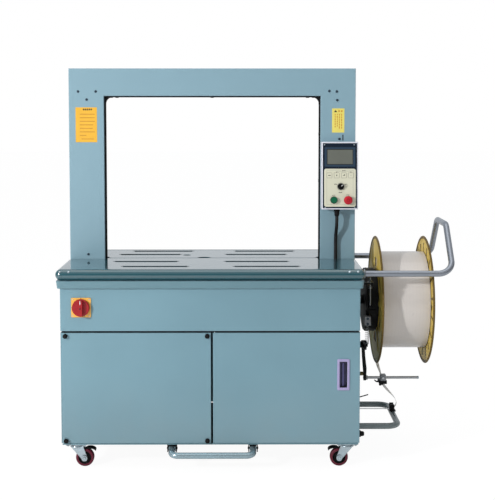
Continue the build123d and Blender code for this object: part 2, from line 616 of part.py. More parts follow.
with BuildPart() as brake_band:
    with BuildSketch(Plane(origin=(574, 0, REEL_Z), x_dir=(0, 1, 0), z_dir=(1, 0, 0))):
        Circle(119)
        Circle(115.8, mode=Mode.SUBTRACT)
        with Locations((-118, -28)):
            Rectangle(60, 26, mode=Mode.SUBTRACT)
    extrude(amount=34)
    # eye of the band and the tension rod up to the anchor
    slab(576, 590, -137, -117, REEL_Z - 14, REEL_Z - 2)
    rod((583, -129, REEL_Z - 2), (0, 0, 1), 3, 662 - REEL_Z + 2)
    rod((583, -129, 645), (0, 0, 1), 7, 9)
    rod((583, -129, 622), (0, 0, 1), 7, 8)
    slab(560, 586, -139, -112, 486, 520)
write(brake_band, "brake_band")

with BuildPart() as brake_lever:
    with BuildSketch(Plane(origin=(560, 0, 0), x_dir=(0, 1, 0), z_dir=(1, 0, 0))):
        with BuildLine():
            Polyline((-138, 396), (-138, 414), (-118, 414), (PIV_Y, 415), (-44, 400), (2, 262), (-10, 250), (-22, 258), (PIV_Y - 10, 388), close=True)
        make_face()
    extrude(amount=10)
    rod((560, PIV_Y, PIV_Z), (1, 0, 0), 15, 18)
    rod((558, PIV_Y, PIV_Z), (1, 0, 0), 6 + RUN, 22, Mode.SUBTRACT)
    rod((570, -10, 262), (1, 0, 0), 5, 209)
    turned((779, -10, 262), (1, 0, 0), [(0, 0), (7, 0), (7, 5), (5, 7), (0, 7)])
    # strap guide clamped on the rod
    slab(636, 658, -20, 6, 250, 274)
    slab(632, 662, -18, 34, 238, 252)
    slab(638, 650, 12, 28, 236, 254, Mode.SUBTRACT)
    slab(620, 632, 4, 20, 240, 244)
write(brake_lever, "brake_lever")

with BuildPart() as brake_spring:
    turned((572, -128, 414), (0, 0, 1), [(5, 0), (8, 0), (8, 72), (5, 72)])
write(brake_spring, "brake_spring")

# ---------------------------------------------------------------- strap guides and strap
GY = 20.0
ROLL = (686.0, GY, 143.0)
with BuildPart() as lever_stop_tube:
    turned((CAB_X, 44, 264), (1, 0, 0), [(0, 0), (14, 0), (14, 4), (7.5, 4), (7.5, 46), (6, 48), (0, 48)])
write(lever_stop_tube, "lever_stop_tube")

with BuildPart() as strap_guide_bracket:
    slab(676, 700, GY - 16, GY + 16, 126, 129)
    slab(678, 694, GY - 16, GY - 12.5, 129, 153)
    slab(678, 694, GY + 12.5, GY + 16, 129, 153)
    rod((ROLL[0], GY - 17, ROLL[2]), (0, 1, 0), 3, 34)
write(strap_guide_bracket, "strap_guide_bracket")

with BuildPart() as guide_roller:
    turned(ROLL, (0, 1, 0), [(3 + RUN, -11.5), (9.5, -11.5), (9.5, -9), (8, -8), (8, 8), (9.5, 9), (9.5, 11.5), (3 + RUN, 11.5)])
write(guide_roller, "guide_roller")

with BuildPart() as incoming_strap:
    # upper guide, round the roller and into the cabinet
    with BuildSketch(upright(GY + 6)):
        with BuildLine():
            FilletPolyline((643, 279), (643, 230), (696.2, 190), (696.2, 133), (508, 133), radius=[24, 24, 10])
            offset(amount=STRAP_T / 2, side=Side.BOTH)
        make_face()
    extrude(amount=12)
    # straight run from the coil down to the upper guide
    with BuildSketch(Plane(origin=(632, 0, 0), x_dir=(0, 1, 0), z_dir=(1, 0, 0))):
        with BuildLine():
            Polyline((147.3, 453.7), (20.0, 279.6), (20.0, 279.0), (20.8, 279.0), (147.95, 453.2), close=True)
        make_face()
    extrude(amount=12)
write(incoming_strap, "incoming_strap")

# ---------------------------------------------------------------- inside
CAM_Y, CAM_Z = -90.0, 560.0
with BuildPart() as drive_motor:
    turned((-280, CAM_Y, CAM_Z), (1, 0, 0), [(0, 0), (52, 0), (62, 12), (62, 40), (58, 42), (58, 170), (62, 172), (62, 190), (30, 195),
                                             (30, 200), (9.6, 200), (9.6, 150), (0, 150)])
    slab(-240, -140, CAM_Y - 40, CAM_Y + 40, 612, 632)
    slab(-230, -150, CAM_Y + 50, CAM_Y + 92, CAM_Z - 25, CAM_Z + 30)
write(drive_motor, "drive_motor")

with BuildPart() as cam_shaft:
    turned((0, CAM_Y, CAM_Z), (1, 0, 0), [(0, -125), (9.5, -125), (9.5, -60), (12, -60), (12, 140), (0, 140)])
    turned((0, CAM_Y, CAM_Z), (1, 0, 0), [(10, -66), (26, -66), (26, -44), (10, -44)])
    for x, ang in ((20, 0), (50, 120), (80, 240)):
        rod((x, CAM_Y + 10 * cos(radians(ang)), CAM_Z + 10 * sin(radians(ang))), (1, 0, 0), 34, 14)
write(cam_shaft, "cam_shaft")

with BuildPart() as head_frame:
    for x in (-22, 112):
        slab(x, x + 8, CAM_Y - 60, 60, 480, 632)
        rod((x - 1, CAM_Y, CAM_Z), (1, 0, 0), 12 + RUN, 10, Mode.SUBTRACT)
    slab(-22, 120, 40, 60, 480, 500)
    slab(-60, 120, -30, 60, 632, 640)
    slab(-60, 60, -12, 40, 640, 690)
    slab(-40, 40, -14, 42, 662, 672, Mode.SUBTRACT)
write(head_frame, "head_frame")

with BuildPart() as strap_pool_box:
    slab(330, 516, -30, 70, 96, 440)
    slab(332, 514, -28, 68, 98, 438, Mode.SUBTRACT)
    slab(510, 520, 10, 30, 130, 137, Mode.SUBTRACT)
write(strap_pool_box, "strap_pool_box")

whole = Compound(children=[p for p in written])
box = whole.bounding_box()
print("pieces", len(written), "box", box.min, box.max)
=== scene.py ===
import bpy, bmesh, math, random
from mathutils import Vector, Matrix


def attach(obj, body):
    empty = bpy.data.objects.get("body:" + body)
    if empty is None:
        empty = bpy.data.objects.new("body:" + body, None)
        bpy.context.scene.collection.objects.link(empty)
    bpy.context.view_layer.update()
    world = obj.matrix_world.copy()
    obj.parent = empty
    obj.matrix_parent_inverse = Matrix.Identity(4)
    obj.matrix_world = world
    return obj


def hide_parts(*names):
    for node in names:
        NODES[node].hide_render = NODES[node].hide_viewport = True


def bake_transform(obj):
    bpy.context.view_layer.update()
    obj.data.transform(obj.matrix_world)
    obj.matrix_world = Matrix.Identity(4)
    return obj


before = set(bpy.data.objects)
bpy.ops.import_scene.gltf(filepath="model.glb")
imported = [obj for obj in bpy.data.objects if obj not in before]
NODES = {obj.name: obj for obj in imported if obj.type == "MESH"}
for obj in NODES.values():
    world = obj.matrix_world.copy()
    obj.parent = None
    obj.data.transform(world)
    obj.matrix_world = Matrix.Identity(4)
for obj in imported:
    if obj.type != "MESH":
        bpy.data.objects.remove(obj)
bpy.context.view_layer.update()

scene = bpy.context.scene
rng = random.Random(7)

# The model's floor frame: x to the right, y away from the operator, z up, metres.
SX, SY = -0.165, 0.0295


def at(x, y, z):
    """A point given in millimetres from the cabinet's middle."""
    return Vector((x / 1000 + SX, y / 1000 + SY, z / 1000))


# ------------------------------------------------------------------ camera
cam_data = bpy.data.cameras.new("camera")
cam = bpy.data.objects.new("camera", cam_data)
scene.collection.objects.link(cam)
cam_data.sensor_fit = 'AUTO'
cam_data.sensor_width = 36.0
cam_data.lens = 1096.1 / 500 * 36.0
cam_data.shift_x = 0.0
cam_data.shift_y = -0.13
cam.location = (-0.0536, -4.0858, 1.2745)
cam.rotation_euler = (math.radians(90 - 3.891), 0, math.radians(-0.296))
cam_data.clip_end = 100
scene.camera = cam
scene.view_settings.view_transform = 'Standard'
scene.view_settings.look = 'None'

# ------------------------------------------------------------------ colour and materials


def lin(r, g, b):
    def f(c):
        c = c / 255
        return c / 12.92 if c <= 0.04045 else ((c + 0.055) / 1.055) ** 2.4
    return (f(r), f(g), f(b), 1.0)


def shade(c, k):
    return tuple(min(1.0, v * k) for v in c[:3]) + (1.0,)


def material(name, rgb, rough=0.4, metal=0.0, coat=0.0, coat_rough=0.08, var=0.05, var_scale=4.0, bump=0.0, bump_scale=300.0,
             rough_var=0.06, edge=0.0, grime=0.0, stretch=(1, 1, 1), bump2=0.0, bump2_scale=20.0, ior=1.5, tint=None, spec=0.5):
    m = bpy.data.materials.new(name)
    m.use_nodes = True
    nt = m.node_tree
    n, l = nt.nodes, nt.links
    p = n["Principled BSDF"]
    p.inputs["Metallic"].default_value = metal
    p.inputs["IOR"].default_value = ior
    p.inputs["Specular IOR Level"].default_value = spec
    if coat:
        p.inputs["Coat Weight"].default_value = coat
        p.inputs["Coat Roughness"].default_value = coat_rough
    tc = n.new("ShaderNodeTexCoord")
    mp = n.new("ShaderNodeMapping")
    mp.inputs["Scale"].default_value = stretch
    l.new(tc.outputs["Object"], mp.inputs["Vector"])
    noise = n.new("ShaderNodeTexNoise")
    noise.inputs["Scale"].default_value = var_scale
    noise.inputs["Detail"].default_value = 5
    l.new(mp.outputs[0], noise.inputs["Vector"])
    ramp = n.new("ShaderNodeValToRGB")
    ramp.color_ramp.elements[0].position = 0.3
    ramp.color_ramp.elements[1].position = 0.7
    ramp.color_ramp.elements[0].color = shade(rgb, 1 - var)
    ramp.color_ramp.elements[1].color = shade(tint or rgb, 1 + var)
    l.new(noise.outputs["Fac"], ramp.inputs["Fac"])
    colour = ramp.outputs["Color"]
    if grime:
        # dust and scuffs that gather low down and in patches
        sep = n.new("ShaderNodeSeparateXYZ")
        l.new(tc.outputs["Object"], sep.inputs[0])
        low = n.new("ShaderNodeMapRange")
        low.inputs["From Min"].default_value = 0.35
        low.inputs["From Max"].default_value = 0.05
        l.new(sep.outputs["Z"], low.inputs["Value"])
        patch = n.new("ShaderNodeTexNoise")
        patch.inputs["Scale"].default_value = 9.0
        patch.inputs["Detail"].default_value = 8
        l.new(tc.outputs["Object"], patch.inputs["Vector"])
        mul = n.new("ShaderNodeMath"); mul.operation = 'MULTIPLY'
        l.new(low.outputs[0], mul.inputs[0]); l.new(patch.outputs["Fac"], mul.inputs[1])
        mul2 = n.new("ShaderNodeMath"); mul2.operation = 'MULTIPLY'
        mul2.inputs[1].default_value = grime
        l.new(mul.outputs[0], mul2.inputs[0])
        mix = n.new("ShaderNodeMixRGB")
        mix.inputs["Color2"].default_value = lin(120, 112, 100)
        l.new(mul2.outputs[0], mix.inputs["Fac"]); l.new(colour, mix.inputs["Color1"])
        colour = mix.outputs["Color"]
    l.new(colour, p.inputs["Base Color"])
    rn = n.new("ShaderNodeTexNoise")
    rn.inputs["Scale"].default_value = var_scale * 6
    rn.inputs["Detail"].default_value = 4
    l.new(mp.outputs[0], rn.inputs["Vector"])
    rr = n.new("ShaderNodeMapRange")
    rr.inputs["To Min"].default_value = max(0.02, rough - rough_var)
    rr.inputs["To Max"].default_value = min(1.0, rough + rough_var)
    l.new(rn.outputs["Fac"], rr.inputs["Value"])
    l.new(rr.outputs[0], p.inputs["Roughness"])
    normal = None
    if edge:
        bv = n.new("ShaderNodeBevel")
        bv.samples = 3
        bv.inputs["Radius"].default_value = edge
        normal = bv.outputs["Normal"]
    for strength, scale in ((bump2, bump2_scale), (bump, bump_scale)):
        if not strength:
            continue
        bn = n.new("ShaderNodeTexNoise")
        bn.inputs["Scale"].default_value = scale
        bn.inputs["Detail"].default_value = 3
        l.new(mp.outputs[0], bn.inputs["Vector"])
        b = n.new("ShaderNodeBump")
        b.inputs["Strength"].default_value = strength
        b.inputs["Distance"].default_value = 0.001
        l.new(bn.outputs["Fac"], b.inputs["Height"])
        if normal:
            l.new(normal, b.inputs["Normal"])
        normal = b.outputs["Normal"]
    if normal:
        l.new(normal, p.inputs["Normal"])
    return m


BODY = lin(104, 140, 153)
M = {}
M["body"] = material("body_paint", BODY, rough=0.42, coat=0.25, coat_rough=0.25, var=0.035, var_scale=2.2, bump=0.10, bump_scale=420, edge=0.0012, grime=0.35, tint=lin(109, 145, 158))
M["arch"] = material("arch_paint", lin(124, 155, 168), rough=0.4, coat=0.3, coat_rough=0.22, var=0.03, var_scale=1.8, bump=0.10, bump_scale=420, edge=0.0012)
M["table"] = material("table_gloss_paint", lin(16, 70, 80), rough=0.2, coat=1.0, coat_rough=0.035, var=0.04, var_scale=3.0, bump=0.02, bump_scale=160, edge=0.0012, rough_var=0.05, ior=1.6)
M["frame"] = material("frame_paint", lin(38, 46, 52), rough=0.55, var=0.08, bump=0.15, bump_scale=250)
M["box"] = material("box_paint", lin(214, 216, 226), rough=0.32, coat=0.3, var=0.03, bump=0.08, bump_scale=500, edge=0.0012)
M["navy"] = material("fascia_navy", lin(17, 30, 46), rough=0.4, spec=0.2, var=0.06, bump=0.06, bump_scale=600, edge=0.0008)
M["cream"] = material("overlay_cream", lin(206, 205, 184), rough=0.38, var=0.02, bump=0.1, bump_scale=900, edge=0.0006)
M["bezel"] = material("display_bezel", lin(42, 60, 78), rough=0.4, spec=0.25, var=0.05, bump=0.05, bump_scale=700, edge=0.0008)
M["lcd"] = material("display_glass", lin(100, 103, 96), rough=0.16, coat=0.4, coat_rough=0.03, var=0.05, var_scale=12)
M["black"] = material("black_plastic", lin(6, 6, 8), rough=0.55, spec=0.18, var=0.12, bump=0.12, bump_scale=900, edge=0.0006)
M["blacksteel"] = material("black_steel", lin(6, 6, 7), rough=0.5, spec=0.2, var=0.15, var_scale=9, bump=0.1, bump_scale=300, edge=0.0008)
M["zinc"] = material("zinc_plate", lin(176, 184, 188), rough=0.32, metal=0.95, var=0.08, var_scale=18, bump=0.12, bump_scale=240, edge=0.0006, tint=lin(178, 194, 202))
M["steel"] = material("bright_steel", lin(166, 169, 172), rough=0.3, metal=1.0, var=0.04, var_scale=30, bump=0.015, bump_scale=200)
M["handle"] = material("handle_paint", lin(140, 146, 155), rough=0.32, metal=0.8, coat=0.2, coat_rough=0.15, var=0.05, var_scale=8, bump=0.08, bump_scale=400)
M["guard"] = material("guard_paint", lin(108, 120, 122), rough=0.34, coat=0.35, var=0.08, var_scale=10, bump=0.12, bump_scale=300)
M["footbar"] = material("foot_bar_paint", lin(152, 180, 192), rough=0.26, coat=0.5, metal=0.6, var=0.06, var_scale=12, bump=0.1, bump_scale=350, grime=0.5)
M["brass"] = material("brass_tube", lin(112, 98, 64), rough=0.4, metal=0.6, var=0.12, var_scale=25, bump=0.1, bump_scale=350)
M["yellow"] = material("switch_yellow", lin(232, 172, 66), rough=0.32, coat=0.3, var=0.03, bump=0.08, bump_scale=900, edge=0.0008)
M["red"] = material("switch_red", lin(150, 20, 28), rough=0.36, spec=0.35, var=0.05, bump=0.06, bump_scale=900, edge=0.001)
M["crimson"] = material("stop_red", lin(178, 16, 38), rough=0.38, spec=0.35, var=0.05, bump=0.05, bump_scale=900, edge=0.0008)
M["green"] = material("start_green", lin(0, 92, 60), rough=0.34, spec=0.4, var=0.06, bump=0.04, bump_scale=800, edge=0.0008)
M["violet"] = material("latch_violet", lin(158, 150, 190), rough=0.36, coat=0.2, var=0.05, bump=0.1, bump_scale=800, edge=0.001)
M["flange"] = material("reel_yellow_paint", lin(186, 158, 64), rough=0.48, spec=0.25, var=0.12, var_scale=7, bump=0.06, bump_scale=260, tint=lin(204, 178, 92))
M["rubber"] = material("cable_rubber", lin(8, 8, 10), rough=0.5, spec=0.35, var=0.1, bump=0.15, bump_scale=600)
M["tyre"] = material("tyre_maroon", lin(88, 8, 38), rough=0.45, spec=0.2, var=0.12, var_scale=30, bump=0.1, bump_scale=420, grime=0.15)
M["lip"] = material("lip_paint", lin(84, 121, 132), rough=0.3, coat=0.5, coat_rough=0.12, var=0.03, var_scale=3, bump=0.06, bump_scale=420, edge=0.001)
# darker gold: painted shade for the flanges' rolled rims and pressed creases
M["goldedge"] = material("reel_edge_shade", lin(96, 76, 28), rough=0.5, spec=0.25, var=0.15, var_scale=14, bump=0.05, bump_scale=300)
M["white"] = material("print_white", lin(232, 234, 232), rough=0.4, var=0.02)
M["print"] = material("print_dark", lin(10, 10, 11), rough=0.5, var=0.05)
M["grey"] = material("print_grey", lin(150, 150, 138), rough=0.5, var=0.05)
M["sticker"] = material("sticker_orange", lin(220, 168, 52), rough=0.35, coat=0.3, var=0.05, var_scale=14)
M["stickerbar"] = material("sticker_bars", lin(190, 136, 40), rough=0.4, var=0.06)
M["sticker2"] = material("sticker_pale", lin(222, 208, 104), rough=0.35, coat=0.3, var=0.05, var_scale=14)
# near black: painted shade, laid in gaps, slots, the latch recess's shaded walls and round the table beads
M["gasket"] = material("gasket", lin(12, 18, 26), rough=0.8, var=0.1)
# darker violet: painted shade for the latch recess and its bar
M["recess"] = material("latch_recess_shade", lin(62, 60, 104), rough=0.4, var=0.06, bump=0.08, bump_scale=700)
M["socket"] = material("dark_socket", lin(34, 52, 66), rough=0.5, metal=0.3, var=0.08)
M["greyblock"] = material("grey_casting", lin(128, 130, 134), rough=0.42, metal=0.5, var=0.1, var_scale=30, bump=0.15, bump_scale=500, edge=0.0006)
M["keyline"] = material("print_keyline", lin(112, 108, 92), rough=0.5, var=0.04)


def strap_material(name, rgb, wound):
    m = material(name, rgb, rough=0.3, coat=0.35, coat_rough=0.15, var=0.04, var_scale=6)
    nt = m.node_tree
    n, l = nt.nodes, nt.links
    p = n["Principled BSDF"]
    tc = n.new("ShaderNodeTexCoord")
    if wound:
        p.inputs["Roughness"].default_value = 0.3
        # turns lie side by side, one strap width apart, each layer a little out of step
        wave = n.new("ShaderNodeTexWave")
        wave.wave_type = 'BANDS'; wave.bands_direction = 'X'; wave.wave_profile = 'SAW'
        wave.inputs["Scale"].default_value = 1 / 0.0125 / 6.2832 * 2 * math.pi / 3.14159
        wave.inputs["Distortion"].default_value = 0.6
        wave.inputs["Detail"].default_value = 1
        wave.inputs["Detail Scale"].default_value = 0.5
        l.new(tc.outputs["Object"], wave.inputs["Vector"])
        b = n.new("ShaderNodeBump")
        b.inputs["Strength"].default_value = 0.10
        b.inputs["Distance"].default_value = 0.0006
        l.new(wave.outputs["Fac"], b.inputs["Height"])
        l.new(b.outputs["Normal"], p.inputs["Normal"])
        # painted shade: the edge of each turn, where it meets the next, a little darker
        old = p.inputs["Base Color"].links[0].from_socket
        mix = n.new("ShaderNodeMixRGB"); mix.blend_type = 'MULTIPLY'
        seam_shade_ramp = n.new("ShaderNodeValToRGB")
        seam_shade_ramp.color_ramp.elements[0].position = 0.0; seam_shade_ramp.color_ramp.elements[0].color = (0.86, 0.85, 0.84, 1)
        seam_shade_ramp.color_ramp.elements[1].position = 0.25; seam_shade_ramp.color_ramp.elements[1].color = (1, 1, 1, 1)
        l.new(wave.outputs["Fac"], seam_shade_ramp.inputs["Fac"])
        mix.inputs["Fac"].default_value = 0.3
        l.new(old, mix.inputs["Color1"]); l.new(seam_shade_ramp.outputs["Color"], mix.inputs["Color2"])
        l.new(mix.outputs["Color"], p.inputs["Base Color"])
    else:
        vor = n.new("ShaderNodeTexVoronoi")
        vor.inputs["Scale"].default_value = 700
        l.new(tc.outputs["Object"], vor.inputs["Vector"])
        b = n.new("ShaderNodeBump")
        b.inputs["Strength"].default_value = 0.3
        b.inputs["Distance"].default_value = 0.0004
        l.new(vor.outputs["Distance"], b.inputs["Height"])
        l.new(b.outputs["Normal"], p.inputs["Normal"])
    return m


M["coil"] = strap_material("wound_strap", lin(196, 191, 187), True)
M["strap"] = strap_material("white_strap", lin(236, 236, 234), False)

CAD_LOOK = {
    "body": ["upper_housing", "left_side_panel", "right_side_panel", "rear_panel", "front_left_panel", "access_door"],
    "arch": ["arch_front_cover", "arch_rear_cover"],
    "table": ["front_table", "rear_deck", "rear_table"],
    "frame": ["cabinet_frame", "deck_plate", "head_frame"],
    "box": ["control_box"], "navy": ["control_fascia"], "cream": ["control_panel"], "bezel": ["lcd_window"],
    "black": ["arch_strap_track", "panel_knobs", "strap_guide_bracket", "guide_roller", "cable_glands", "selector_knob", "strap_pool_box"],
    "blacksteel": ["brake_bracket", "brake_band", "brake_lever", "reel_hub", "foot_bar_brackets", "drive_motor"],
    "zinc": ["machine_screws", "hinge_pins", "caster_plates", "caster_fork_front_left", "caster_fork_front_right",
             "caster_fork_rear_left", "caster_fork_rear_right", "cam_shaft"],
    "steel": ["reel_spindle"], "handle": ["guard_handle"], "guard": ["lower_guard_tube"], "footbar": ["foot_bar"],
    "brass": ["lever_stop_tube"], "yellow": ["switch_plate"], "red": ["main_switch_knob"], "crimson": ["stop_button"],
    "green": ["start_button"], "violet": ["door_handle"], "flange": ["reel_nut"], "coil": ["strap_coil"], "rubber": ["control_cable"],
}
for key, names in CAD_LOOK.items():
    for name in names:
        if name not in NODES:
            continue
        mats = NODES[name].data.materials
        if len(mats):
            for i in range(len(mats)):
                mats[i] = M[key]
        else:
            mats.append(M[key])

# ------------------------------------------------------------------ mesh helpers


def finish_piece(name, bm_or_mesh, mat, body, smooth=True, angle=35, bevel=0.0, segs=2, loc=None):
    if isinstance(bm_or_mesh, bmesh.types.BMesh):
        me = bpy.data.meshes.new(name)
        bmesh.ops.recalc_face_normals(bm_or_mesh, faces=bm_or_mesh.faces)
        bm_or_mesh.to_mesh(me)
        bm_or_mesh.free()
    else:
        me = bm_or_mesh
    ob = bpy.data.objects.new(name, me)
    scene.collection.objects.link(ob)
    mats = mat if isinstance(mat, (list, tuple)) else [mat]
    for m in mats:
        me.materials.append(M[m])
    if bevel:
        b = ob.modifiers.new("bevel", 'BEVEL')
        b.width = bevel; b.segments = segs; b.limit_method = 'ANGLE'; b.angle_limit = math.radians(40)
        b.harden_normals = False
    if smooth:
        for f in me.polygons:
            f.use_smooth = True
        me.set_sharp_from_angle(angle=math.radians(angle))
    if body:
        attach(ob, body)
    return ob


def frame_axes(axis):
    a = Vector(axis).normalized()
    ref = Vector((0, 0, 1)) if abs(a.z) < 0.9 else Vector((1, 0, 0))
    u = ref.cross(a).normalized()
    v = a.cross(u)
    return a, u, v


def lathe(name, origin, axis, profile, mat, body, seg=64, smooth=True, angle=35, bm=None, closed=False):
    """Turned piece from (radius, height) in millimetres."""
    own = bm is None
    bm = bm or bmesh.new()
    a, u, v = frame_axes(axis)
    rings = []
    for r, h in profile:
        ring = []
        if r < 1e-6:
            ring = [bm.verts.new(origin + a * (h / 1000))]
        else:
            for i in range(seg):
                t = 2 * math.pi * i / seg
                ring.append(bm.verts.new(origin + a * (h / 1000) + (u * math.cos(t) + v * math.sin(t)) * (r / 1000)))
        rings.append(ring)
    pairs = list(zip(rings, rings[1:])) + ([(rings[-1], rings[0])] if closed else [])
    for r0, r1 in pairs:
        if len(r0) == 1 and len(r1) == 1:
            continue
        for i in range(seg):
            j = (i + 1) % seg
            if len(r0) == 1:
                bm.faces.new((r0[0], r1[j], r1[i]))
            elif len(r1) == 1:
                bm.faces.new((r0[i], r0[j], r1[0]))
            else:
                bm.faces.new((r0[i], r0[j], r1[j], r1[i]))
    if own:
        return finish_piece(name, bm, mat, body, smooth, angle)
    return bm


def block(bm, c0, c1, rot=None):
    lo, hi = Vector(map(min, c0, c1)), Vector(map(max, c0, c1))
    vs = [bm.verts.new((x, y, z)) for x in (lo.x, hi.x) for y in (lo.y, hi.y) for z in (lo.z, hi.z)]
    for f in ((0, 1, 3, 2), (4, 6, 7, 5), (0, 4, 5, 1), (2, 3, 7, 6), (0, 2, 6, 4), (1, 5, 7, 3)):
        bm.faces.new([vs[i] for i in f])
    return vs


def box_piece(name, c0, c1, mat, body, bevel=0.001, segs=2):
    bm = bmesh.new()
    block(bm, c0, c1)
    return finish_piece(name, bm, mat, body, bevel=bevel, segs=segs)


def plate_poly(name, pts, normal, thick, mat, body, bevel=0.0):
    """A thin plate from an outline of points, raised along the normal."""
    bm = bmesh.new()
    n = Vector(normal).normalized() * thick
    lo = [bm.verts.new(p) for p in pts]
    hi = [bm.verts.new(p + n) for p in pts]
    bm.faces.new(lo)
    bm.faces.new(hi)
    for i in range(len(pts)):
        j = (i + 1) % len(pts)
        bm.faces.new((lo[i], lo[j], hi[j], hi[i]))
    return finish_piece(name, bm, mat, body, bevel=bevel)


def smooth_path(points, per=14):
    """Catmull-Rom through the points."""
    out = []
    n = len(points)
    for i in range(n - 1):
        p0 = points[max(i - 1, 0)]; p1 = points[i]; p2 = points[i + 1]; p3 = points[min(i + 2, n - 1)]
        for k in range(per):
            t = k / per
            t2, t3 = t * t, t * t * t
            out.append(0.5 * ((2 * p1) + (p2 - p0) * t + (2 * p0 - 5 * p1 + 4 * p2 - p3) * t2 + (3 * p1 - p0 - 3 * p2 + p3) * t3))
    out.append(points[-1])
    return out


def tube(name, pts, radius, mat, body, seg=16, caps=True):
    bm = bmesh.new()
    prev_u = None
    rings = []
    n = len(pts)
    for i, p in enumerate(pts):
        t = (pts[min(i + 1, n - 1)] - pts[max(i - 1, 0)]).normalized()
        if prev_u is None:
            _, u, v = frame_axes(t)
        else:
            u = (prev_u - t * prev_u.dot(t)).normalized()
            v = t.cross(u)
        prev_u = u
        r = radius(i / (n - 1)) if callable(radius) else radius
        rings.append([bm.verts.new(p + (u * math.cos(2 * math.pi * k / seg) + v * math.sin(2 * math.pi * k / seg)) * r) for k in range(seg)])
    for a, b in zip(rings, rings[1:]):
        for k in range(seg):
            j = (k + 1) % seg
            bm.faces.new((a[k], a[j], b[j], b[k]))
    if caps:
        bm.faces.new(list(reversed(rings[0])))
        bm.faces.new(rings[-1])
    return finish_piece(name, bm, mat, body)


def hex_bolt(name, origin, axis, across, height, mat, body, washer=True):
    bm = bmesh.new()
    a, u, v = frame_axes(axis)
    r = across / math.sqrt(3) / 1000
    rings = []
    for h, k in ((0.0015 if washer else 0, 1.0), (height / 1000 * 0.8, 1.0), (height / 1000, 0.86)):
        rings.append([bm.verts.new(origin + a * h + (u * math.cos(math.pi / 3 * i) + v * math.sin(math.pi / 3 * i)) * r * k) for i in range(6)])
    for r0, r1 in zip(rings, rings[1:]):
        for i in range(6):
            bm.faces.new((r0[i], r0[(i + 1) % 6], r1[(i + 1) % 6], r1[i]))
    bm.faces.new(rings[-1]); bm.faces.new(list(reversed(rings[0])))
    if washer:
        lathe("", origin, axis, [(0.01, 0), (across * 0.95, 0), (across * 0.95, 1.4), (0.01, 1.6)], None, None, seg=24, bm=bm)
    return finish_piece(name, bm, mat, body, angle=30)


# ------------------------------------------------------------------ reel flanges: pressed sheet with rolled rim


def reel_flange(name, node, x0, out, body):
    """out is +1 where ribs stand towards +x."""
    c = at(x0, 0, 561)
    seg = 216
    radii = [18, 24, 40, 58, 61, 64, 67, 70, 78, 86, 94, 104, 114, 122, 125, 133, 142, 151, 159, 164, 172, 180, 188, 196, 202, 208, 214, 218, 222, 226, 230]
    bm = bmesh.new()
    grid = []

    def height(r, t):
        h = 0.0
        # raised seat round the hub
        h += 2.6 * max(0.0, min(1.0, (70 - r) / 8))
        # six embossed ribs between the windows
        k = (math.degrees(t) - 0) % 60
        d = min(k, 60 - k) * math.pi / 180 * r
        w = 15.0
        if 76 < r < 214:
            rise = 0.5 + 0.5 * math.cos(math.pi * min(1.0, d / w))
            end = min(1.0, (r - 76) / 14, (214 - r) / 10)
            h += 3.2 * rise * max(0.0, end)
        # shallow ring bead
        h += 1.6 * math.exp(-((r - 220) / 5) ** 2)
        return h * out

    for r in radii:
        row = []
        for i in range(seg):
            t = 2 * math.pi * i / seg
            row.append(bm.verts.new(c + Vector(((height(r, t) + 2) / 1000, math.cos(t) * r / 1000, math.sin(t) * r / 1000))))
        grid.append(row)
    for a in range(len(radii) - 1):
        for i in range(seg):
            t = math.degrees(2 * math.pi * (i + 0.5) / seg)
            rm = (radii[a] + radii[a + 1]) / 2
            k = (t - 30) % 60
            d = min(k, 60 - k)
            lim = 11.0
            if 125 < rm < 159 and d < lim:
                continue
            bm.faces.new((grid[a][i], grid[a][(i + 1) % seg], grid[a + 1][(i + 1) % seg], grid[a + 1][i]))
    ob = finish_piece(name, bm, "flange", body, angle=85)
    s = ob.modifiers.new("sheet", 'SOLIDIFY')
    s.thickness = 0.0022; s.offset = 0
    # rolled rim, in a darker gold: painted shade on the rolled edge
    ring = bmesh.new()
    pts = []
    prof = []
    for i in range(13):
        a = math.radians(-110 + i * 29)
        prof.append((234.4 + 5.4 * math.cos(a), 2 + 3.8 * math.sin(a)))
    lathe("", c, (1, 0, 0), prof, None, None, seg=144, bm=ring, closed=True)
    rim = finish_piece(name + "_rim", ring, "goldedge", body, angle=60)
    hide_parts(node)
    return ob


reel_flange("flange_left", "reel_left_flange", 616, -1, "reel")
reel_flange("flange_right", "reel_right_flange", 798, 1, "reel")
for i in range(6):
    t = math.pi / 3 * i + math.pi / 6
    o = at(801.5, 0, 561) + Vector((0.0, math.cos(t) * 0.084, math.sin(t) * 0.084))
    hex_bolt("flange_bolt_%d" % i, o, (1, 0, 0), 10, 6, "zinc", "reel")

# ------------------------------------------------------------------ casters


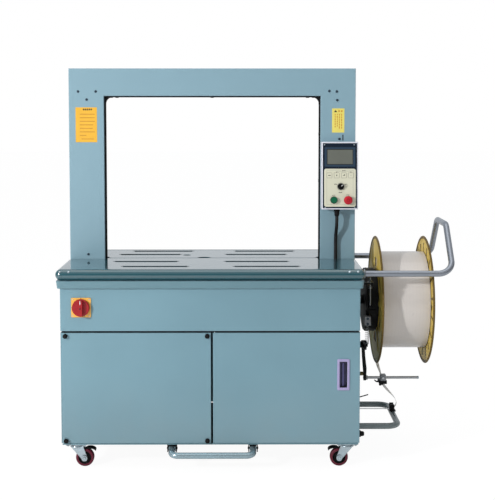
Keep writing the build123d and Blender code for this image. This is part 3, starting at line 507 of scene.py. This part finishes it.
def caster(which, wx, wy, sx, pedal):
    ax = wx + sx * 28
    c = at(ax, wy, 32.5)
    body = "wheel_" + which
    tyre = [(22.5, -10.5), (23.5, -12.6), (27.5, -13.0), (30.6, -11.6), (32.2, -8.4), (32.5, -4), (32.5, 4), (32.2, 8.4), (30.6, 11.6), (27.5, 13.0), (23.5, 12.6), (22.5, 10.5)]
    t = lathe("tyre_" + which, c, (0, 1, 0), tyre, "tyre", body, seg=72, closed=True, angle=50)
    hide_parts("caster_wheel_" + which)
    for k, s in enumerate((-1, 1)):
        hub = [(4.6, 13.8 * s), (8.6, 13.8 * s), (9.4, 12.4 * s), (9.6, 9.6 * s), (12, 8.6 * s), (19, 8.6 * s), (20.5, 9.6 * s), (21.4, 12.0 * s), (22.8, 12.2 * s), (22.8, 2 * s), (4.6, 2 * s)]
        lathe("hub_%s_%d" % (which, k), c, (0, 1, 0), hub, "black", body, seg=48, closed=True, angle=40)
        for i in range(5):
            a = 2 * math.pi * i / 5 + 0.3
            bm = bmesh.new()
            vs = block(bm, (0.009, min(0.0084 * s, 0.0112 * s), -0.0012), (0.0208, max(0.0084 * s, 0.0112 * s), 0.0012))
            bmesh.ops.rotate(bm, verts=vs, cent=(0, 0, 0), matrix=Matrix.Rotation(a, 3, 'Y'))
            bmesh.ops.translate(bm, verts=vs, vec=c)
            finish_piece("web_%s_%d_%d" % (which, k, i), bm, "black", body, bevel=0.0004)
    fork = "fork_" + which
    for s in (-1, 1):
        hex_bolt("axle_nut_%s_%d" % (which, s), at(ax, wy + s * 21.8, 32.5), (0, s, 0), 11, 5, "zinc", fork)
    lathe("race_" + which, at(wx, wy, 71), (0, 0, 1), [(0.1, 8.2), (21, 8.2), (24.5, 5.5), (25.5, 2.5), (25.5, 0.5), (24, 0), (0.1, 0)], "zinc", fork, seg=48)
    for dx in (-29, 29):
        for dy in (-25, 25):
            hex_bolt("plate_bolt_%s_%d_%d" % (which, dx, dy), at(wx + dx, wy + dy, 84), (0, 0, -1), 9, 5, "zinc", "cabinet")
    if pedal:
        # brake pedal: a curved tongue
        prof = [(-sx * 6, 50), (sx * 10, 58), (sx * 22, 66), (sx * 38, 66.5), (sx * 48, 63), (sx * 53, 58)]
        pts = smooth_path([at(ax + px - sx * 14, wy, pz) for px, pz in prof], 6)
        bm = bmesh.new()
        rows = []
        for i, p in enumerate(pts):
            w = 0.0085 + 0.004 * min(1.0, i / len(pts) * 2)
            rows.append([bm.verts.new(p + Vector((0, dy, dz))) for dy, dz in ((-w, -0.002), (w, -0.002), (w, 0.0035), (-w, 0.0035))])
        for a, b in zip(rows, rows[1:]):
            for k in range(4):
                bm.faces.new((a[k], a[(k + 1) % 4], b[(k + 1) % 4], b[k]))
        bm.faces.new(rows[0]); bm.faces.new(list(reversed(rows[-1])))
        finish_piece("brake_pedal_" + which, bm, "black", fork, bevel=0.0006)


caster("front_left", -480, -245, 1, True)
caster("front_right", 488, -245, -1, True)
caster("rear_left", -480, 225, 1, False)
caster("rear_right", 488, 225, -1, False)

# ------------------------------------------------------------------ operator panel
FO = Vector((474.5, -67.5, 1033.5))
SL = Vector((0.0, 15.0 / 249.45, 249.0 / 249.45))
OUT = Vector((0.0, -SL.z, SL.y))


def face(u, v, lift=0.0):
    p = FO + Vector((u, 0, 0)) + SL * v + OUT * lift
    return at(p.x, p.y, p.z)


def face_rect(name, u, v, w, h, lift, thick, mat, body="cabinet", r=0.0, bevel=0.0, turn=0.0):
    pts = []
    if r:
        for cx, cy, a0 in ((w / 2 - r, h / 2 - r, 0), (-w / 2 + r, h / 2 - r, 90), (-w / 2 + r, -h / 2 + r, 180), (w / 2 - r, -h / 2 + r, 270)):
            for k in range(7):
                a = math.radians(a0 + 15 * k)
                pts.append((cx + r * math.cos(a), cy + r * math.sin(a)))
    else:
        pts = [(-w / 2, -h / 2), (w / 2, -h / 2), (w / 2, h / 2), (-w / 2, h / 2)]
    ct, st = math.cos(math.radians(turn)), math.sin(math.radians(turn))
    out = [face(u + x * ct - y * st, v + x * st + y * ct, lift) for x, y in pts]
    return plate_poly(name, out, OUT, thick / 1000, mat, body, bevel)


# display: glass with a dim pattern, sunk in its bezel
face_rect("lcd_glass", 0, 69.5, 97.4, 57.4, 2.25, 0.5, "lcd", r=1.5)
for k, (du, dv, w, h) in enumerate(((0, 27.6, 97.6, 2.4), (0, -27.6, 97.6, 2.4), (-47.6, 0, 2.4, 52.8), (47.6, 0, 2.4, 52.8))):
    face_rect("lcd_border_%d" % k, du, 69.5 + dv, w, h, 2.72, 0.25, "print")
for k, (du, dv, w, h) in enumerate(((0, 36.6, 115, 1.4), (0, -36.6, 115, 1.4), (-57.2, 0, 1.4, 72), (57.2, 0, 1.4, 72))):
    face_rect("bezel_shadow_%d" % k, du, 69.5 + dv, w, h, 3.52, 0.1, "navy")
# printed frame and marks on the membrane, lifted a hair
P = 0.72
for i, (u0, u1, v0, v1) in enumerate(((-49, 49, 19.6, 20.2), (-49, -48.4, -106, 20), (48.4, 49, -106, 20), (-49, 49, -106.6, -106))):
    face_rect("panel_line_%d" % i, (u0 + u1) / 2, (v0 + v1) / 2, u1 - u0, v1 - v0, P, 0.08, "grey")
for i, u in enumerate((-39.2, -12, 14.9, 40.6)):
    # key outline and a generic sign on each key
    for k, (du, dv, w, h) in enumerate(((0, 9.6, 18, 0.9), (0, -9.6, 18, 0.9), (9.6, 0, 1.0, 18), (-9.6, 0, 1.0, 18))):
        face_rect("key_edge_%d_%d" % (i, k), u + du, 1.3 + dv, w, h, 1.5, 0.1, "keyline")
face_rect("key_sign_0", -39.2, 1.3, 9, 2.4, 1.5, 0.12, "print")
face_rect("key_sign_1", -12, 1.3, 3.4, 5, 1.5, 0.12, "print")
face_rect("key_sign_2", 14.9, 1.3, 7, 2.4, 1.5, 0.12, "print")
face_rect("key_sign_2b", 16.9, 3.2, 2.4, 4.5, 1.5, 0.12, "print")
face_rect("key_sign_3", 40.6, 1.3, 3.4, 1.8, 1.5, 0.12, "grey")
face_rect("bracket_line", 14, 15.5, 54, 0.8, P, 0.08, "grey")
for i, u in enumerate((-12, 40.6)):
    plate_poly("arrow_%d" % i, [face(u - 3, 14.5, P), face(u + 3, 14.5, P), face(u, 11.6, P)], OUT, 0.0001, "print", "cabinet")


def word(name, u, v, w, n=4, h=3.6, mat="print"):
    """A legend drawn as a row of plain blocks, with no lettering."""
    step = w / n
    for i in range(n):
        face_rect("%s_%d" % (name, i), u - w / 2 + step * (i + 0.5), v + (0.35 if i % 2 else -0.2), step * 0.76, h * (0.8 if i % 3 else 1), P, 0.08, mat)


word("legend_top", 14, 18.5, 13, 4, 2.6)
word("legend_left", -16, -31.5, 10, 3, 3)
word("legend_right", 22, -31.5, 10, 3, 3)
word("legend_mid", 1.5, -62, 13, 4, 2.8)
word("legend_start", -23, -72.5, 11, 4, 2.4)
word("legend_stop", 29, -71.5, 11, 4, 2.4)
# collars round the controls
lathe("start_collar", face(-22.4, -90.0, 0.7), OUT, [(8.6, 0), (13.4, 0), (13.4, 1.3), (12.6, 2.0), (9.0, 2.0), (8.6, 1.6)], "black", "cabinet", seg=56, closed=True)
lathe("stop_collar", face(29.4, -90.5, 0.7), OUT, [(8.6, 0), (13.4, 0), (13.4, 1.3), (12.6, 2.0), (9.0, 2.0), (8.6, 1.6)], "black", "cabinet", seg=56, closed=True)
lathe("selector_collar", face(2.9, -40.0, 0.7), OUT, [(6.4, 0), (14.2, 0), (14.0, 0.35), (6.6, 0.38)], "grey", "cabinet", seg=56, closed=True)
# white pointer on the selector's grip
ct, st = math.cos(math.radians(45)), math.sin(math.radians(45))
face_rect("selector_pointer", 2.9 + 5.6 * st, -40.0 + 5.6 * ct, 2.0, 8.0, 16.02, 0.12, "white", body="selector", turn=-45)
face_rect("selector_pointer_low", 2.9 + 9.6 * st, -40.0 + 9.6 * ct, 2.4, 1.8, 9.05, 0.12, "white", body="selector", turn=-45)
# a thin ring on the stop button's mushroom head
lathe("stop_ring", face(29.4, -90.5, 20.25), OUT, [(3.2, 0), (6.6, 0), (6.6, 0.25), (3.2, 0.3)], "red", "stop_key", seg=48, closed=True)

# ------------------------------------------------------------------ stickers


def front_rect(name, x0, x1, z0, z1, y, thick, mat, body="cabinet"):
    pts = [at(x0, y, z0), at(x1, y, z0), at(x1, y, z1), at(x0, y, z1)]
    return plate_poly(name, pts, (0, -1, 0), thick / 1000, mat, body)


YF = -9.0
front_rect("sticker_left", -510, -430, 1156, 1286, YF, 0.35, "sticker")
z = 1268
for i, (a, b) in enumerate(((-486, -450), (-494, -438), (-494, -438), (-494, -438), (-494, -444), (-494, -446), (-494, -438), (-494, -470), (-488, -442))):
    if i == 0:
        for k in range(5):
            front_rect("sticker_head_%d" % k, -482 + 7.2 * k, -477 + 7.2 * k, 1275, 1281, YF - 0.35, 0.1, "print")
        continue
    z = 1272 - 13.2 * i
    front_rect("sticker_bar_%d" % i, a, b, z, z + 3.4, YF - 0.35, 0.1, "stickerbar")
front_rect("sticker_right", 449, 495, 1192, 1282, YF, 0.35, "sticker2")
plate_poly("sticker_right_mark", [at(456, YF - 0.35, 1268), at(468, YF - 0.35, 1268), at(462, YF - 0.35, 1277)], (0, -1, 0), 0.0001, "print", "cabinet")
front_rect("sticker_right_mark_b", 472, 478, 1268.5, 1275.5, YF - 0.35, 0.1, "stickerbar")
front_rect("sticker_right_mark_c", 482, 488, 1268.5, 1275.5, YF - 0.35, 0.1, "stickerbar")
for i in range(4):
    z1 = 1262
    for k in range(6):
        h = 5 + 4 * rng.random()
        if z1 - h < 1199 + (6 if i == 0 else 0):
            break
        front_rect("sticker_right_bar_%d_%d" % (i, k), 459 + 8 * i, 462.5 + 8 * i, z1 - h, z1, YF - 0.35, 0.1, "stickerbar")
        z1 -= h + 2.5
# slot in the arch's right column, drawn as a flat near-black plate: painted shade for its recess
front_rect("arch_slot_shade", 488, 492, 1154 + 8, 1184, YF, 0.15, "gasket")

# ------------------------------------------------------------------ main switch marks and plate screws
for i, (dx, dz) in enumerate(((-29, -29), (29, -29), (-29, 29), (29, 29))):
    lathe("switch_screw_%d" % i, at(-455 + dx, -293, 582 + dz), (0, -1, 0), [(0, 1.2), (1.6, 1.0), (2.6, 0), (0, 0)], "zinc", "cabinet", seg=20)
for i, a in enumerate((0, 90)):
    t = math.radians(90 + a)
    x, zz = -455 + 33.2 * math.cos(t), 582 + 33.2 * math.sin(t)
front_rect("switch_tick_0", -456, -454, 613.5, 616, -293, 0.15, "print")
front_rect("switch_tick_1", -488.6, -486.4, 581, 583, -293, 0.15, "print")
front_rect("switch_grip_line", -456.1, -453.9, 596, 609, -318.5 + 1.0, 0.5, "white", body="main_switch")

for i, (x, zz) in enumerate(((-434, 1345), (-468, 1315), (-467, 734), (438, 1347), (468, 1313), (477, 1168), (466, 1345), (-500, 1345))):
    lathe("arch_socket_%d" % i, at(x, -9 - 2.2, zz), (0, -1, 0), [(0, 1.2), (1.9, 1.15), (3.6, 0.6), (4.75, -1.2), (4.8, -2.3), (0, -2.3)], "socket", "cabinet", seg=28, angle=60)

lathe("switch_hub", at(-455, -318.0, 582), (0, -1, 0), [(0, 1.0), (2.2, 1.0), (2.8, 0.4), (2.8, 0), (0, 0)], "print", "main_switch", seg=24)

# ------------------------------------------------------------------ door latch: frame, deep recess and turning bar
bm = bmesh.new()


def ring_of(x0, x1, z0, z1, y, r):
    pts = []
    for cx, cz, a0 in ((x1 - r, z1 - r, 0), (x0 + r, z1 - r, 90), (x0 + r, z0 + r, 180), (x1 - r, z0 + r, 270)):
        for k in range(5):
            a = math.radians(a0 + 22.5 * k)
            pts.append(bm.verts.new(at(cx + r * math.cos(a), y, cz + r * math.sin(a))))
    return pts


loops = [ring_of(449, 493, 285, 397, -290, 4), ring_of(449, 493, 285, 397, -292, 4), ring_of(450.2, 491.8, 286.2, 395.8, -293, 3.4),
         ring_of(456.5, 485.5, 293.5, 388.5, -293, 1.6), ring_of(457.6, 484.4, 294.6, 387.4, -292, 1.2), ring_of(457.8, 484.2, 294.8, 387.2, -276.4, 1.2)]
for a, b in zip(loops, loops[1:]):
    for k in range(len(a)):
        bm.faces.new((a[k], a[(k + 1) % len(a)], b[(k + 1) % len(b)], b[k]))
latch = finish_piece("latch_frame", bm, "violet", "door", angle=40)
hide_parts("door_handle")
# painted shade: the recess floor, its left wall and the bar in darker violet, the right, low and top walls near black
for name, c0, c1, m in (("latch_floor", at(457.7, -276.6, 294.7), at(484.3, -274.6, 387.3), "recess"),
                        ("latch_wall_left", at(457.7, -291.2, 294.8), at(459.3, -276.5, 387.2), "recess"),
                        ("latch_wall_right", at(482.4, -291.2, 294.8), at(484.3, -276.5, 387.2), "gasket"),
                        ("latch_wall_low", at(457.8, -291.2, 294.8), at(484.2, -276.5, 297.2), "gasket"),
                        ("latch_wall_top", at(457.8, -291.2, 385.2), at(484.2, -276.5, 387.2), "gasket"),
                        ("latch_bar", at(466.5, -284.5, 299), at(473.5, -279.5, 383), "recess")):
    box_piece(name, c0, c1, m, "door", bevel=0.0005)

# ------------------------------------------------------------------ helical brake spring
pts = []
N = 9
for i in range(N * 16 + 1):
    t = i / 16 * 2 * math.pi
    zz = 416 + (484 - 416) * i / (N * 16)
    pts.append(at(572 + 7.0 * math.cos(t), -128 + 7.0 * math.sin(t), zz))
spring = tube("spring_coil", pts, 0.0011, "steel", "cabinet", seg=8)
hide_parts("brake_spring")

# ------------------------------------------------------------------ brake band with its tension rod
bm = bmesh.new()
steps = 96
a0, a1 = math.radians(190), math.radians(190 + 340)
rows = []
for i in range(steps + 1):
    t = a0 + (a1 - a0) * i / steps
    rows.append([bm.verts.new(at(x, math.cos(t) * r, 561 + math.sin(t) * r)) for r, x in ((115.9, 574), (119, 574), (119, 608), (115.9, 608))])
for r0, r1 in zip(rows, rows[1:]):
    for k in range(4):
        bm.faces.new((r0[k], r0[(k + 1) % 4], r1[(k + 1) % 4], r1[k]))
bm.faces.new(rows[0]); bm.faces.new(list(reversed(rows[-1])))
band = finish_piece("band", bm, "blacksteel", "cabinet", angle=50)
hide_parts("brake_band")
for i in range(20):
    t = a0 + (a1 - a0) * (i + 0.5) / 20
    lathe("band_rivet_%d" % i, at(583, math.cos(t) * 119, 561 + math.sin(t) * 119), (0, math.cos(t), math.sin(t)), [(0, 1.4), (1.8, 1.1), (2.8, 0), (0, 0)], "brass", "cabinet", seg=16)
box_piece("band_eye", at(576, -137, 547), at(590, -117, 559), "blacksteel", "cabinet", bevel=0.0015, segs=3)
thread = []
for i in range(60):
    zz = 562 + i * 1.7
    thread += [(2.75, zz - 559), (3.05, zz - 559 + 0.85)]
lathe("tension_rod", at(583, -129, 559), (0, 0, 1), [(0, 0), (3, 0)] + thread + [(3, 103), (0, 103.4)], "steel", "cabinet", seg=24, angle=70)
hex_bolt("tension_nut", at(583, -129, 645), (0, 0, 1), 12, 9, "steel", "cabinet")
lathe("tension_collar", at(583, -129, 622), (0, 0, 1), [(3.1, 0), (6.6, 0), (7, 0.6), (7, 7.4), (6.6, 8), (3.1, 8)], "steel", "cabinet", seg=36, closed=True)
box_piece("anchor_block", at(560, -139, 486), at(586, -112, 520), "greyblock", "cabinet", bevel=0.0025, segs=3)
for zz in (493, 512):
    hex_bolt("anchor_screw_%d" % zz, at(573, -139, zz), (0, -1, 0), 5, 3, "socket", "cabinet")

# ------------------------------------------------------------------ brake lever: bent arm, rod and the clamped strap guide
bm = bmesh.new()
side = [(-138, 396), (-138, 414), (-118, 414), (-60, 415), (-44, 400), (-30, 350), (-14, 306), (0, 270), (0, 258), (-10, 250), (-20, 256), (-26, 268), (-38, 300), (-54, 340), (-70, 388)]


def joggle(zz):
    k = max(0.0, min(1.0, (385 - zz) / 95))
    return 13 * k * k * (3 - 2 * k)


fronts = [[bm.verts.new(at(x + joggle(zz), y, zz)) for y, zz in side] for x in (560, 570)]
for k in range(len(side)):
    j = (k + 1) % len(side)
    bm.faces.new((fronts[0][k], fronts[0][j], fronts[1][j], fronts[1][k]))
for f in fronts:
    bmesh.ops.triangulate(bm, faces=[bm.faces.new(f)])
arm = finish_piece("lever_arm", bm, "blacksteel", "brake_arm", angle=30, bevel=0.0012)
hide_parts("brake_lever")
lathe("lever_boss", at(559, -60, 400), (1, 0, 0), [(6.3, 0), (15, 0), (16, 1), (16, 18), (15, 19), (6.3, 19)], "blacksteel", "brake_arm", seg=48, closed=True)
lathe("lever_rod", at(572, -10, 262), (1, 0, 0), [(0, 0), (5, 0), (5, 206), (0, 206)], "steel", "brake_arm", seg=40)
lathe("lever_rod_cap", at(777, -10, 262), (1, 0, 0), [(0, 0), (5.2, 0), (5.6, 0.6), (5.6, 5), (4.6, 6.4), (0, 6.4)], "zinc", "brake_arm", seg=40)
lathe("lever_rod_nut", at(583, -10, 262), (1, 0, 0), [(5, 0), (9, 0), (9, 6), (5, 6)], "steel", "brake_arm", seg=6, closed=True, angle=20)
box_piece("guide_clamp", at(636, -20, 250), at(658, 5, 274), "greyblock", "brake_arm", bevel=0.0025, segs=3)
lathe("guide_clamp_screw", at(647, -20, 262), (0, -1, 0), [(0, 4), (4.5, 4), (5, 3.4), (5, 0), (0, 0)], "steel", "brake_arm", seg=24)
bm = bmesh.new()
for c0, c1 in ((at(632, -18, 238), at(638, 34, 251)), (at(650, -18, 238), at(662, 34, 251)), (at(637.5, -18, 238), at(650.5, 12, 251)), (at(637.5, 28, 238), at(650.5, 34, 251))):
    block(bm, c0, c1)
finish_piece("guide_eye", bm, "black", "brake_arm", bevel=0.0012)
tube("guide_lip", smooth_path([at(634, -16, 238), at(636, -10, 233), at(643, 4, 231), at(652, 14, 232), at(660, 26, 236)], 6), 0.003, "black", "brake_arm", seg=12)
tube("guide_wing", smooth_path([at(634, 8, 243), at(628, 10, 241), at(622, 12, 243), at(618, 14, 247)], 6), lambda t: 0.0036 - 0.0016 * t, "black", "brake_arm", seg=12)
# thin guide wire from the cabinet's side
tube("side_wire", smooth_path([at(529.5, -6, 180), at(550, -8, 184), at(572, -10, 190), at(592, -10, 196)], 8), 0.0022, "blacksteel", "cabinet", seg=12)

# ------------------------------------------------------------------ strap from the reel over the lever's guide into the cabinet


def ribbon(name, route, body):
    cp = [at(*q) for q, w in route]
    cw = [Vector(w).normalized() for q, w in route]
    line, wide = smooth_path(cp, 10), smooth_path(cw, 10)
    bm = bmesh.new()
    rows = []
    for i, q in enumerate(line):
        t = (line[min(i + 1, len(line) - 1)] - line[max(i - 1, 0)]).normalized()
        w = (wide[i] - t * wide[i].dot(t)).normalized()
        n = t.cross(w)
        hw, ht = 0.0058, 0.00035
        rows.append([bm.verts.new(q + w * c * hw + n * d * ht) for c, d in ((-1, -1), (1, -1), (1, 1), (-1, 1))])
    for r0, r1 in zip(rows, rows[1:]):
        for k in range(4):
            bm.faces.new((r0[k], r0[(k + 1) % 4], r1[(k + 1) % 4], r1[k]))
    bm.faces.new(list(reversed(rows[0]))); bm.faces.new(rows[-1])
    return finish_piece(name, bm, "strap", body, angle=60)


upper = ribbon("strap_upper", [((628, 150, 456), (1, 0, 0)), ((628, 112, 402), (1, 0, 0)), ((628, 66, 338), (1, 0.05, 0)), ((632, 42, 304), (0.95, 0.25, 0)),
                               ((640, 25, 277), (0.6, 0.8, 0)), ((644, 20, 262), (0.3, 0.95, 0)), ((645, 20, 246), (0.25, 0.97, 0))], None)
lower = ribbon("strap_lower", [((645, 20, 246), (0.25, 0.97, 0)), ((646.5, 20, 236), (0.5, 0.87, 0)), ((655, 19.5, 224), (0.8, 0.6, 0)), ((669, 19, 207), (0.7, 0.7, 0)),
                               ((685, 19.5, 190), (0.4, 0.9, 0)), ((697.5, 20, 174), (0.08, 1, 0)), ((703, 20, 159), (0, 1, 0)), ((700.5, 20, 148), (0, 1, 0)),
                               ((695.6, 20, 140.4), (0, 1, 0)), ((691, 20, 135), (0, 1, 0)), ((684, 20, 132.9), (0, 1, 0)), ((660, 20, 133.2), (0, 1, 0)),
                               ((600, 20, 133.4), (0, 1, 0)), ((540, 20, 133.4), (0, 1, 0)), ((511, 20, 133.4), (0, 1, 0))], None)
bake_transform(upper)
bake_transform(lower)
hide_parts("incoming_strap")

# ------------------------------------------------------------------ small fixings
for i, (y, zz) in enumerate(((-22, 561 - 22), (22, 561 - 22), (-22, 561 + 22), (22, 561 + 22))):
    pass
for i, (y, zz) in enumerate(((-140, 400), (-140, 480), (50, 510), (50, 635), (-140, 635))):
    hex_bolt("bracket_bolt_%d" % i, at(534.5, y, zz), (1, 0, 0), 13, 7, "zinc", "cabinet")
for k, y in enumerate((-150, 150)):
    for i in range(3):
        t = math.radians(90 + 120 * i)
        hex_bolt("guard_bolt_%d_%d" % (k, i), at(533.5, y + 18.5 * math.cos(t), 115 + 18.5 * math.sin(t)), (1, 0, 0), 8, 4.5, "zinc", "cabinet")
for k, y in enumerate((-243, 243)):
    pass
# near-black strips in the gap between the housing and the doors: painted shade
for k, (c0, c1) in enumerate(((at(-521, -283.8, 491.6), at(521, -282.2, 503)), (at(-521, 262.2, 486), at(521, 263.8, 503)))):
    box_piece("gap_shade_%d" % k, c0, c1, "gasket", "cabinet", bevel=0.0004)
# retaining clip tabs of the strap track, on its inner edge near the upper corners
for i, (x, zz, wx, wz) in enumerate(((-396, 1305, 4, 13), (-389, 1322, 12, 3), (-366, 1322, 12, 3), (-398, 1296, 3, 10), (398, 1305, 4, 13), (376, 1322, 12, 3), (352, 1322, 12, 3), (-398.5, 1190, 2, 10), (400, 1180, 2, 10))):
    pass
TABS = [(-398.2, 1303, 2.2, 12), (-378, 1322.6, 12, 2.2), (-356, 1322.6, 12, 2.2), (-398.2, 1186, 2.0, 12), (-398.2, 1010, 2.0, 12), (400.2, 1303, 2.2, 12),
        (380, 1322.6, 12, 2.2), (358, 1322.6, 12, 2.2), (400.2, 1186, 2.0, 12), (400.2, 1010, 2.0, 12), (0, 1322.6, 12, 2.0)]
for i, (x, zz, w, h) in enumerate(TABS):
    box_piece("track_tab_%d" % i, at(x - w / 2, 4, zz - h / 2), at(x + w / 2, 10, zz + h / 2), "black", "cabinet", bevel=0.0006)
# flat near-black discs at the ends of the table beads: painted shade
for i, (x, y) in enumerate([(-200, -213), (200, -213), (-243, -84), (166, -84)] + [(-200, 214), (200, 214), (-243, 114), (166, 114)]):
    for s in (-1, 1):
        lathe("bead_end_shade_%d_%d" % (i, s), at(x + s * 118, y, 717.0), (0, 0, 1), [(0, 0.25), (4.6, 0.22), (4.9, 0), (0, 0)], "gasket", "cabinet" if y < 0 else "rear_lid", seg=20)

# pressed creases on the inner face of the outer flange, drawn as flat dark-gold strips: painted shade
for k in range(18):
    t = 2 * math.pi * (k + 0.5) / 18
    rad, tan = Vector((0, math.cos(t), math.sin(t))), Vector((0, -math.sin(t), math.cos(t)))
    c = at(798.6, 0, 561)
    pts = [c + rad * (r / 1000) + tan * (w / 1000) for r, w in ((178, -2.0), (214, -5.0), (214, 5.0), (178, 2.0))]
    plate_poly("flange_crease_shade_%d" % k, pts, (-1, 0, 0), 0.0007, "goldedge", "reel")


def lip_skin():
    def loop(hx, hy, r, z):
        out = []
        for cx, cy, a0 in ((hx - r, hy - r, 0), (-hx + r, hy - r, 90), (-hx + r, -hy + r, 180), (hx - r, -hy + r, 270)):
            for q in range(9):
                a = math.radians(a0 + 11.25 * q)
                out.append(at(cx + r * math.cos(a), -10 + cy + r * math.sin(a), z))
        return out
    bm = bmesh.new()
    loops = [[bm.verts.new(q) for q in loop(*v)] for v in ((538.1, 288.6, 8.1, 650.6), (538.7, 289.2, 8.7, 650.6), (542.5, 292.5, 12.5, 676.4), (542.0, 292.0, 12.0, 676.4))]
    for a, b in zip(loops, loops[1:] + loops[:1]):
        for q in range(len(a)):
            w = (q + 1) % len(a)
            bm.faces.new((a[q], a[w], b[w], b[q]))
    finish_piece("lip_skin", bm, "lip", "cabinet", angle=40)


lip_skin()
box_piece("base_sill", at(-526, -288.8, 89.0), at(526, -288.0, 93.8), "lip", "cabinet", bevel=0.0002)

# painted shadow: a flat near-black ring round each table bead
def bead_shadow_outline(name, x, y, body):
    bm = bmesh.new()
    loops = []
    for half, rr, z in ((110, 4.55, 717.0), (110, 4.55, 718.5), (110, 5.15, 718.5), (110, 5.15, 717.0)):
        pts = []
        for cx, a0 in ((half, -90), (-half, 90)):
            for k in range(9):
                a = math.radians(a0 + 22.5 * k)
                pts.append(bm.verts.new(at(x + cx + rr * math.cos(a), y + rr * math.sin(a), z)))
        loops.append(pts)
    for a, b in zip(loops, loops[1:] + loops[:1]):
        for k in range(len(a)):
            j = (k + 1) % len(a)
            bm.faces.new((a[k], a[j], b[j], b[k]))
    return finish_piece(name, bm, "gasket", body, angle=40)


for i, (x, y) in enumerate([(-200, -213), (200, -213), (-243, -84), (166, -84)]):
    bead_shadow_outline("bead_inlay_%d" % i, x, y, "cabinet")
for i, (x, y) in enumerate([(-200, 214), (200, 214), (-243, 114), (166, 114)]):
    bead_shadow_outline("bead_inlay_rear_%d" % i, x, y, "rear_lid")

# ------------------------------------------------------------------ stage and light
bm = bmesh.new()
s = 30
bm.faces.new([bm.verts.new(v) for v in ((-s, -s, 0), (s, -s, 0), (s, s, 0), (-s, s, 0))])
me = bpy.data.meshes.new("floor")
bm.to_mesh(me); bm.free()
floor = bpy.data.objects.new("floor", me)
scene.collection.objects.link(floor)
fm = bpy.data.materials.new("floor_white")
fm.use_nodes = True
fm.node_tree.nodes["Principled BSDF"].inputs["Base Color"].default_value = (0.92, 0.92, 0.92, 1)
fm.node_tree.nodes["Principled BSDF"].inputs["Roughness"].default_value = 0.9
me.materials.append(fm)
nt = fm.node_tree
glow = nt.nodes.new("ShaderNodeEmission")
glow.inputs["Color"].default_value = (1, 1, 1, 1)
glow.inputs["Strength"].default_value = 1.03
mixs = nt.nodes.new("ShaderNodeMixShader")
path = nt.nodes.new("ShaderNodeLightPath")
keep = nt.nodes.new("ShaderNodeMath")
keep.operation = 'MULTIPLY'
keep.inputs[1].default_value = 0.92
nt.links.new(path.outputs["Is Camera Ray"], keep.inputs[0])
nt.links.new(keep.outputs[0], mixs.inputs[0])
nt.links.new(nt.nodes["Principled BSDF"].outputs[0], mixs.inputs[1])
nt.links.new(glow.outputs[0], mixs.inputs[2])
nt.links.new(mixs.outputs[0], nt.nodes["Material Output"].inputs["Surface"])

# studio: a bright backdrop behind, softer and darker towards the floor in front
world = bpy.data.worlds.new("studio")
scene.world = world
world.use_nodes = True
wt = world.node_tree
n, l = wt.nodes, wt.links
bg = n["Background"]
tc = n.new("ShaderNodeTexCoord")
sep = n.new("ShaderNodeSeparateXYZ")
l.new(tc.outputs["Generated"], sep.inputs[0])
ramp = n.new("ShaderNodeValToRGB")
mr = n.new("ShaderNodeMapRange")
mr.inputs["From Min"].default_value = -1.0
l.new(sep.outputs["Z"], mr.inputs["Value"])
l.new(mr.outputs[0], ramp.inputs["Fac"])
els = ramp.color_ramp.elements
els[0].position = 0.0; els[0].color = (0.03, 0.03, 0.03, 1)
els[1].position = 1.0; els[1].color = (0.8, 0.8, 0.8, 1)
for pos, val in ((0.44, 0.035), (0.50, 0.08), (0.60, 0.20), (0.75, 0.50)):
    e = els.new(pos)
    e.color = (val, val, val * 1.02, 1)
back = n.new("ShaderNodeMapRange")
back.inputs["From Min"].default_value = 0.15
back.inputs["From Max"].default_value = 0.75
l.new(sep.outputs["Y"], back.inputs["Value"])
mixc = n.new("ShaderNodeMixRGB")
mixc.inputs["Color2"].default_value = (0.66, 0.69, 0.72, 1)
l.new(back.outputs[0], mixc.inputs["Fac"])
l.new(ramp.outputs["Color"], mixc.inputs["Color1"])
l.new(mixc.outputs["Color"], bg.inputs["Color"])
bg.inputs["Strength"].default_value = 1.0
white = n.new("ShaderNodeBackground")
white.inputs["Color"].default_value = (1, 1, 1, 1)
white.inputs["Strength"].default_value = 1.0
wp = n.new("ShaderNodeLightPath")
wm = n.new("ShaderNodeMixShader")
l.new(wp.outputs["Is Camera Ray"], wm.inputs[0])
l.new(bg.outputs[0], wm.inputs[1])
l.new(white.outputs[0], wm.inputs[2])
l.new(wm.outputs[0], n["World Output"].inputs["Surface"])


def area(name, loc, target, size, power, colour=(1, 1, 1)):
    d = bpy.data.lights.new(name, 'AREA')
    d.shape = 'RECTANGLE'; d.size, d.size_y = size
    d.energy = power; d.color = colour
    o = bpy.data.objects.new(name, d)
    scene.collection.objects.link(o)
    o.location = loc
    o.rotation_euler = (Vector(target) - Vector(loc)).to_track_quat('-Z', 'Y').to_euler()
    return o


area("key", (-3.6, -3.3, 2.1), (0, 0, 0.75), (0.25, 0.25), 190)
area("fill", (2.6, -4.0, 2.6), (0, 0, 0.7), (2.4, 2.4), 8)
area("top", (0, -0.4, 4.2), (0, 0, 0.6), (3.0, 3.0), 30)
